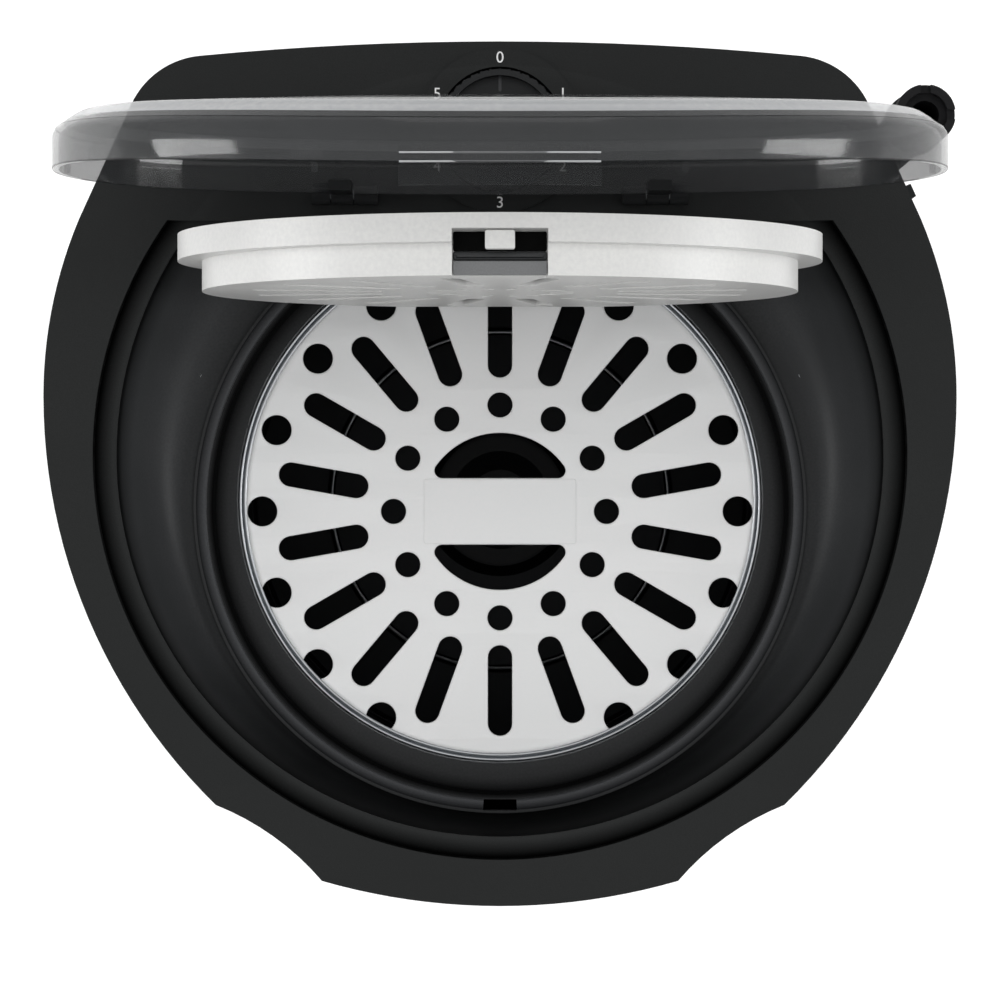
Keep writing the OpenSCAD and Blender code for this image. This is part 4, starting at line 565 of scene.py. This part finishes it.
class DRYER_OT_bowl(bpy.types.Operator):
    """Builds the smooth bowl under the deck and the pale band round the throat"""
    bl_idname = "dryer.bowl"
    bl_label = "Bowl and band"

    def execute(self, context):
        s = sizes()
        sides, steps = 240, 28

        def row(k, grow):
            """Points round the bowl, k steps down a quarter ellipse from the opening to the foot."""
            inward, down = 1 - math.cos(math.pi / 2 * k / steps), math.sin(math.pi / 2 * k / steps)
            r = s.opening_r + (s.bowl_foot_r - s.opening_r) * inward + grow
            centre_y = s.opening_y + (s.throat_y - s.opening_y) * inward
            out = []
            for i in range(sides):
                a = 2 * math.pi * i / sides
                y = centre_y + r * math.sin(a)
                top = s.bowl_top - drop(s, y)
                out.append((r * math.cos(a), y, top + (s.bowl_foot - top) * down))
            return out

        rows = [row(k, 0) for k in range(steps + 1)] + [row(k, s.bowl_wall) for k in range(steps, -1, -1)]
        faces = [face for k in range(len(rows)) for face in join(k, (k + 1) % len(rows), sides)]
        obj = new_mesh("bowl_skin", [p for r in rows for p in r], faces, "cabinet",
                       material("polished_polypropylene_bowl"), 50)
        bm = bmesh.new()
        bm.from_mesh(obj.data)
        cut = bmesh.ops.bisect_plane(
            bm, geom=bm.verts[:] + bm.edges[:] + bm.faces[:], plane_co=(0, s.bowl_rear_y * MM, 0),
            plane_no=(0, 1, 0), clear_outer=True)
        edges = [e for e in cut["geom_cut"] if isinstance(e, bmesh.types.BMEdge)]
        bmesh.ops.holes_fill(bm, edges=edges)
        bm.to_mesh(obj.data)
        bm.free()
        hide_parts("bowl")
        crown = [(152.1, -1.75), (152.1, -0.75), (152.5, -0.25), (153.2, 0), (156.8, 0), (157.5, -0.25),
                 (157.8, -0.85), (157.8, -1.75)]
        notch = (-93.2, -86.8)
        lathe("band_cap", [(r, s.band_top + h) for r, h in crown], (0, s.throat_y), "cabinet",
              material("moulded_polypropylene_band"), 240, gap=notch)
        return {"FINISHED"}


class DRYER_OT_basket(bpy.types.Operator):
    """Turns the basket's rolled lip and the bead round its floor"""
    bl_idname = "dryer.basket"
    bl_label = "Basket lip"

    def execute(self, context):
        s = sizes()
        z = s.rim_top
        steel = material("brushed_stainless_steel")
        lip = [(149, z - 3.5), (148, z - 3.5), (138.4, z - 2.1), (134, z - 2)]
        lip += arc(0.9, 190, 10, 9, (133.7, z - 1)) + [(134.9, z - 1.9)]
        lip += arc(0.9, 190, 10, 9, (136.2, z - 0.9))
        lip += [(137.4, z - 1.6), (141, z - 1.9), (145, z - 2.2), (148, z - 2.6), (148.8, z - 3)]
        rolled = lathe("rolled_lip", lip, (0, s.spin_y), "spinner", steel, 240)
        bead = [(99.4, 246.6), (99.4, 247.6), (99.8, 248.2), (100.4, 248.4), (101, 248.2), (101.4, 247.6),
                (101.4, 244.5)]
        lathe("floor_bead", bead, (0, s.spin_y), "spinner", steel, 160)
        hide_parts("basket_rim")
        return {"FINISHED"}


class DRYER_OT_disc(bpy.types.Operator):
    """Moulds the press disc with its holes, slots, finger openings and bare plate"""
    bl_idname = "dryer.disc"
    bl_label = "Press disc"

    def finger_openings(self, s):
        """The two openings beside the bar: a straight side, an arc and small corners between them."""
        r, g = s.finger_corner, s.finger_gap
        x = math.sqrt((s.finger_r - r) ** 2 - (g + r) ** 2)
        meet = math.degrees(math.atan2(g + r, x))
        half = arc(r, -90, meet, 8, (x, g + r)) + arc(s.finger_r, meet, 90, 12)[1:-1]
        whole = half + [(0, s.finger_r)] + [(-a, b) for a, b in reversed(half)]
        return [whole, [(-a, -b) for a, b in whole]]

    def execute(self, context):
        s = sizes()
        white = material("moulded_polypropylene_white")

        def spot(r, degrees):
            """A point at a radius and angle from the disc's middle."""
            return r * math.cos(math.radians(degrees)), r * math.sin(math.radians(degrees))

        # The edge, a ring of round holes, a ring of slots, and round holes outside the slots at both sides.
        outlines = [circle(s.disc_r, 240)]
        outlines += [circle(s.hole_r, 32, spot(s.hole_ring, 360 / s.holes * i)) for i in range(s.holes)]
        outlines += [slot_outline(s.slot_width, s.slot_length, s.slot_ring, 90 + 360 / s.slots * i)
                     for i in range(s.slots)]
        outlines += [circle(s.side_hole_r, 32, spot(s.side_hole_ring, side + 360 / s.slots * i))
                     for side in (0, 180) for i in range(-3, 4)]
        outlines += self.finger_openings(s)
        z, under = s.disc_top, s.disc_top - s.disc_thick
        disc = plate("disc_plate", outlines, under, z, 0.7, s.disc_y, "disc", white)
        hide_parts("press_disc")
        plate("disc_pad", [rounded_box(s.bar_width, s.bar_depth, 1.5)], z - 0.6, z + 0.6, 0.35, s.disc_y,
              "disc", white)
        flange = [(141, z - 3.5), (141, z - 8.6), (140.6, z - 9), (138.4, z - 9), (138, z - 8.6),
                  (138, z - 3.5)]
        lathe("disc_flange", flange, (0, s.disc_y), "disc", white)
        return {"FINISHED"}


class DRYER_OT_clear_lid(bpy.types.Operator):
    """Moulds the smoked outer lid as one smooth shell, standing open"""
    bl_idname = "dryer.clear_lid"
    bl_label = "Clear lid"

    def edge(self, s, q):
        """Radius of the lid's edge at q degrees, with 90 towards the hinge."""
        rear_y = s.lid_reach - s.lid_gap - s.lid_rear_r
        from_side, from_rear = s.lid_r - s.lid_corner_r, s.lid_rear_r - s.lid_corner_r
        corner_y = (from_side ** 2 - from_rear ** 2 + rear_y ** 2) / (2 * rear_y)
        corner_x = math.sqrt(from_side ** 2 - corner_y ** 2)
        side_ends = math.degrees(math.atan2(corner_y, corner_x))
        k = s.lid_rear_r / from_rear
        corner_ends = math.degrees(math.atan2(rear_y + k * (corner_y - rear_y), k * corner_x))
        m = 180 - q if q > 90 else (-180 - q if q < -90 else q)

        def reach(x, y, r):
            """How far a ray from the lid's middle at m degrees goes to leave a circle."""
            b = x * math.cos(math.radians(m)) + y * math.sin(math.radians(m))
            return b + math.sqrt(b * b - x * x - y * y + r * r)

        if m < side_ends:
            return s.lid_r
        if m < corner_ends:
            return reach(corner_x, corner_y, s.lid_corner_r)
        return reach(0, rear_y, s.lid_rear_r)

    def execute(self, context):
        s = sizes()
        sides, dome_rows = 288, 14
        turns = [-180 + 360 * i / sides for i in range(sides)]
        edges = [self.edge(s, q) for q in turns]
        slope_w = s.lid_slope_w

        def row(inset, h):
            """Points round the lid, inset from its edge, at a height over the skirt's foot."""
            out = []
            for q, e in zip(turns, edges):
                r = e * (1 - inset / s.lid_r)
                y = -s.lid_reach + r * math.sin(math.radians(q))
                out.append((r * math.cos(math.radians(q)),
                            s.lid_hinge_y + s.lid_shift + h - drop(s, y + s.lid_hinge_y), s.lid_hinge_z - y))
            return out

        def skin(w):
            """Rows from the skirt's foot to the top, for the outer skin or for one that lies w inside it."""
            skirt, top = s.lid_skirt, s.lid_skirt + s.lid_slope_h - w
            rows = [row(w + 0.3, 0), row(w, 0 if w else 0.6), row(w, skirt * 0.5),
                    row(w, skirt - 2.5 - w * 0.4), row(w + 0.5, skirt - 0.9 - w * 0.4),
                    row(w + 1.6, skirt + 0.9 - w * 0.5),
                    row(w + 2.2, skirt + 1.31 - w * 0.5), row(5.4 + w * 0.7, skirt + 3.5 - w * 0.75),
                    row(slope_w - 2.5 + w * 0.4, top - 1.7), row(slope_w - 0.6 + w * 0.4, top - 0.6)]
            for k in range(dome_rows):
                f = (k + 0.25) / (dome_rows + 0.6)
                rows.append(row(slope_w + w * 0.4 * (1 - f) + (s.lid_r - slope_w) * f,
                                top + s.lid_rise * (1 - (1 - f) ** 2)))
            return rows

        outer, inner = skin(0), skin(s.lid_wall)
        verts = [p for r in outer + inner for p in r]
        m = len(outer)
        faces = join(0, m, sides)
        for first, w in ((0, 0), (m, s.lid_wall)):
            for k in range(first, first + m - 1):
                faces += join(k, k + 1, sides)
            crown = s.lid_skirt + s.lid_slope_h - w + s.lid_rise
            verts.append((0, s.lid_hinge_y + s.lid_shift + crown, s.lid_hinge_z + s.lid_reach))
            last = (first + m - 1) * sides
            faces += [(last + i, last + (i + 1) % sides, len(verts) - 1) for i in range(sides)]
        lid = new_mesh("smoked_lid", verts, faces, "outer_lid", material("smoked_acrylic"), 60)
        lid.data.materials.append(material("smoked_acrylic_painted_highlight"))
        lid.data.materials.append(material("smoked_acrylic_deep"))
        # The sloping rim carries a painted highlight; the skirt's foot and its upper bend are dark lines.
        painted_highlight_rows, dark_rows = ([7, 8], [8, 9], [9, 10]), ([0, 1], [5, 6])
        for face in lid.data.polygons:
            between = sorted({v // sides for v in face.vertices})
            face.material_index = 1 if between in painted_highlight_rows else 2 if between in dark_rows else 0
        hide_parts("clear_lid")
        # Two fine lines of painted highlight run along the lifting lip.
        for i, y in enumerate((125.9, 129.6)):
            plate("lip_edge_%d" % i, [rounded_box(83, 0.7, 0.3, y)], 957.5, 960.6, 0.2, 0, "outer_lid",
                  material("smoked_acrylic_painted_highlight"))
        return {"FINISHED"}


class DRYER_OT_latch(bpy.types.Operator):
    """Fills the inner lid's notch with its catch: a white tab, a grey plate, and a dark roll and black back,
    both painted shade
    """
    bl_idname = "dryer.latch"
    bl_label = "Catch"

    def execute(self, context):
        # Name, width, Y from and to, height from and to, surface, and how far its edges are rounded. The dark
        # roll and black back are painted shade.
        for name, w, y0, y1, z0, z1, surface, bevel in (
                ("catch_tab", 13.2, 97.4, 105.8, 841.4, 849.2, "moulded_abs_white", 0.5),
                ("catch_plate", 41.6, 86.4, 92.6, 835.2, 840.8, "moulded_acetal_grey", 0.5),
                ("catch_roll", 41.6, 92.8, 96.9, 834.6, 838.6, "moulded_acetal_painted_shade", 1.6),
                ("catch_back", 41.6, 97.1, 105.8, 834.6, 836.2, "moulded_acetal_painted_deep_shade", 0.3)):
            outline = rounded_box(w, y1 - y0, min(1.0, (y1 - y0) / 4), (y0 + y1) / 2)
            piece = plate(name, [outline], z0, z1, bevel, 0, "vented_lid", material(surface))
            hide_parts("inner_lid_latch")
        return {"FINISHED"}


class DRYER_OT_dial(bpy.types.Operator):
    """Adds the numbers 0 to 5, the ring round them, and the knob's ribs and pointer"""
    bl_idname = "dryer.dial"
    bl_label = "Dial"

    def execute(self, context):
        s = sizes()
        for i in range(6):
            curve = bpy.data.curves.new("number_%d" % i, "FONT")
            curve.body = str(i)
            curve.size = s.number_size * MM
            curve.extrude = 0.1 * MM
            curve.align_x = "CENTER"
            curve.align_y = "CENTER"
            a = math.radians(90 - 60 * i)
            obj = bpy.data.objects.new("number_%d_text" % i, curve)
            obj.location = (s.number_r * MM * math.cos(a), (s.dial_y + s.number_r * math.sin(a)) * MM,
                            s.number_z * MM)
            context.scene.collection.objects.link(obj)
            baked("number_%d" % i, obj, "cabinet", material("printed_white_ink"))
        # The dark joint between the dial's ring and the deck.
        line = [(40.1, 620.7), (40.1, 621.05), (40.6, 621.05), (40.6, 620.7)]
        lathe("bezel_line", line, (0, s.dial_y), "cabinet", material("vulcanised_rubber"),
              120)
        self.ribs(context)
        plate("pointer", [rounded_box(1.6, 8, 0.7, 24)], 614.9, 615.4, 0.1, s.dial_y, "knob",
              material("moulded_abs_pointer"))
        return {"FINISHED"}

    def ribs(self, context):
        """Ribs round the knob, from a node group that sets one rib on every spoke."""
        s = sizes()
        surface = material("satin_polypropylene_black")
        given = {"Count": ("NodeSocketInt", s.ribs), "Radius": ("NodeSocketFloat", s.knob_r * MM),
                 "Length": ("NodeSocketFloat", s.rib_length * MM), "Width": ("NodeSocketFloat", s.rib_r * MM),
                 "Surface": ("NodeSocketMaterial", surface)}
        tree = bpy.data.node_groups.new("spokes", "GeometryNodeTree")
        tree.interface.new_socket("Geometry", in_out="OUTPUT", socket_type="NodeSocketGeometry")
        for name, (kind, value) in given.items():
            tree.interface.new_socket(name, in_out="INPUT", socket_type=kind)
        size = add(tree, "NodeGroupInput").outputs
        points = add(tree, "GeometryNodeMeshLine", {"Count": size["Count"], "Offset": (0, 0, 0)},
                     mode="OFFSET")
        rib = add(tree, "GeometryNodeMeshCylinder",
                  {"Vertices": 12, "Radius": size["Width"], "Depth": size["Length"]})
        away = add(tree, "ShaderNodeCombineXYZ", {"X": size["Radius"]})
        moved = add(tree, "GeometryNodeTransform",
                    {"Geometry": rib.outputs["Mesh"], "Translation": away.outputs["Vector"]})
        index = add(tree, "GeometryNodeInputIndex")
        share = add(tree, "ShaderNodeMath", {0: index.outputs["Index"], 1: size["Count"]}, operation="DIVIDE")
        turn = add(tree, "ShaderNodeMath", {0: share.outputs[0], 1: 2 * math.pi}, operation="MULTIPLY")
        spin = add(tree, "ShaderNodeCombineXYZ", {"Z": turn.outputs[0]})
        spokes = add(tree, "GeometryNodeInstanceOnPoints",
                     {"Points": points.outputs["Mesh"], "Instance": moved.outputs["Geometry"],
                      "Rotation": spin.outputs["Vector"]})
        real = add(tree, "GeometryNodeRealizeInstances", {"Geometry": spokes.outputs["Instances"]})
        paint = add(tree, "GeometryNodeSetMaterial",
                    {"Geometry": real.outputs["Geometry"], "Material": size["Surface"]})
        add(tree, "NodeGroupOutput", {"Geometry": paint.outputs["Geometry"]})
        obj = bpy.data.objects.new("knob_ribs_base", bpy.data.meshes.new("knob_ribs_base"))
        obj.location = (0, s.dial_y * MM, s.knob_z * MM)
        context.scene.collection.objects.link(obj)
        modifier = obj.modifiers.new("spokes", "NODES")
        modifier.node_group = tree
        for item in tree.interface.items_tree:
            if item.in_out == "INPUT":
                modifier[item.identifier] = given[item.name][1]
        baked("knob_ribs", obj, "knob", surface)


class DRYER_OT_hose(bpy.types.Operator):
    """Turns the corrugated drain hose"""
    bl_idname = "dryer.hose"
    bl_label = "Drain hose"

    def execute(self, context):
        s = sizes()
        low, high, cuff = s.hose_low, s.hose_high, s.hose_cuff
        bore, cuff_end, cuff_r = 9.8, 12.0, 12.3
        rib = [(11.3, 0), (11.5, 0.9), (12.6, 1.4), (12.95, 2.1), (12.95, 3.1), (12.6, 3.8), (11.5, 4.3)]
        outline = [(cuff_end, low), (cuff_r, low + 1), (cuff_r, low + cuff - 1)]
        for i in range(int((high - low - 2 * cuff) / s.hose_pitch)):
            outline += [(r, low + cuff + i * s.hose_pitch + h) for r, h in rib]
        outline += [(cuff_r, high - cuff + 1), (cuff_r, high - 1), (cuff_end, high)]
        outline += [(bore, high), (bore, low)]
        hose = lathe("ribbed_hose", outline, (s.hose_x, s.hose_y), "cabinet",
                     material("corrugated_pvc"), 40, 40)
        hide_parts("drain_hose")
        return {"FINISHED"}


class DRYER_OT_studio(bpy.types.Operator):
    """Lays the pale floor and hangs the soft lights"""
    bl_idname = "dryer.studio"
    bl_label = "Studio"

    def seen(self, nt, more, plain):
        """A strength that is plain for the light on the object, and has more where it is seen or mirrored."""
        ray = add(nt, "ShaderNodeLightPath").outputs
        value = ray["Is Camera Ray"]
        for name in ("Is Glossy Ray", "Is Transmission Ray"):
            value = add(nt, "ShaderNodeMath", {0: value, 1: ray[name]}, operation="MAXIMUM").outputs[0]
        return add(nt, "ShaderNodeMath", {0: value, 1: more, 2: plain}, operation="MULTIPLY_ADD").outputs[0]

    def execute(self, context):
        paper = material("studio_paper")
        nt = paper.node_tree
        fill(nt, nt.nodes["Principled BSDF"],
             {"Emission Color": (1, 1, 1, 1), "Emission Strength": self.seen(nt, 0.35, 0)})
        mesh = bpy.data.meshes.new("floor")
        mesh.from_pydata([(-6, -6, 0), (6, -6, 0), (6, 6, 0), (-6, 6, 0)], [], [(0, 1, 2, 3)])
        mesh.materials.append(paper)
        floor = bpy.data.objects.new("floor", mesh)
        context.scene.collection.objects.link(floor)
        world = bpy.data.worlds.new("studio")
        world.use_nodes = True
        nt = world.node_tree
        fill(nt, nt.nodes["Background"], {"Color": (1, 1, 1, 1), "Strength": self.seen(nt, 0.5, 0.5)})
        context.scene.world = world
        # Name, place and width and height in metres, watts, and the height of the point it faces.
        for name, at, size, watts, aim_z in (("above", (0, 0.2, 3.6), (2.6, 2.6), 54, 0.5),
                                             ("behind", (0, 2.4, 1.7), (1.6, 1.6), 6, 0.5),
                                             ("left", (-2.5, 0, 1.22), (0.7, 1.2), 26, 1.22),
                                             ("right", (2.5, 0, 1.22), (0.7, 1.2), 26, 1.22)):
            data = bpy.data.lights.new(name, "AREA")
            data.shape = "RECTANGLE"
            data.size, data.size_y = size
            data.energy = watts
            light = bpy.data.objects.new(name, data)
            light.location = at
            # The lamp overhead would stand as a bright square in the clear lid.
            light.visible_glossy = name != "above"
            aim = Vector((0, 0, aim_z)) - Vector(at)
            light.rotation_euler = aim.to_track_quat("-Z", "Y").to_euler()
            context.scene.collection.objects.link(light)
        context.scene.view_settings.view_transform = "Standard"
        return {"FINISHED"}


STEPS = ("camera", "frame_surfaces", "bowl", "basket", "disc", "clear_lid", "latch", "dial", "hose", "studio")


class DRYER_PT_panel(bpy.types.Panel):
    """Lists the steps in the order in which they run, and the sizes and colours they use"""
    bl_label = "Spin dryer"
    bl_idname = "DRYER_PT_panel"
    bl_space_type = "VIEW_3D"
    bl_region_type = "UI"
    bl_category = "Dryer"

    def draw(self, context):
        for step in STEPS:
            self.layout.operator("dryer." + step)
        for group in (context.scene.dryer_sizes, context.scene.dryer_colours):
            for name in type(group).__annotations__:
                self.layout.prop(group, name)


CLASSES = (DRYER_PG_sizes, DRYER_PG_colours, DRYER_OT_camera, DRYER_OT_frame_surfaces, DRYER_OT_bowl,
           DRYER_OT_basket, DRYER_OT_disc, DRYER_OT_clear_lid, DRYER_OT_latch, DRYER_OT_dial, DRYER_OT_hose,
           DRYER_OT_studio, DRYER_PT_panel)


def register():
    """Makes the classes known and puts the sizes and colours on the scene."""
    for c in CLASSES:
        bpy.utils.register_class(c)
    bpy.types.Scene.dryer_sizes = bpy.props.PointerProperty(type=DRYER_PG_sizes)
    bpy.types.Scene.dryer_colours = bpy.props.PointerProperty(type=DRYER_PG_colours)


def unregister():
    """Takes all of it away again."""
    del bpy.types.Scene.dryer_sizes
    del bpy.types.Scene.dryer_colours
    for c in reversed(CLASSES):
        bpy.utils.unregister_class(c)


def main():
    """Builds everything in order."""
    register()
    for step in STEPS:
        getattr(bpy.ops.dryer, step)()


if __name__ == "__main__":
    main()
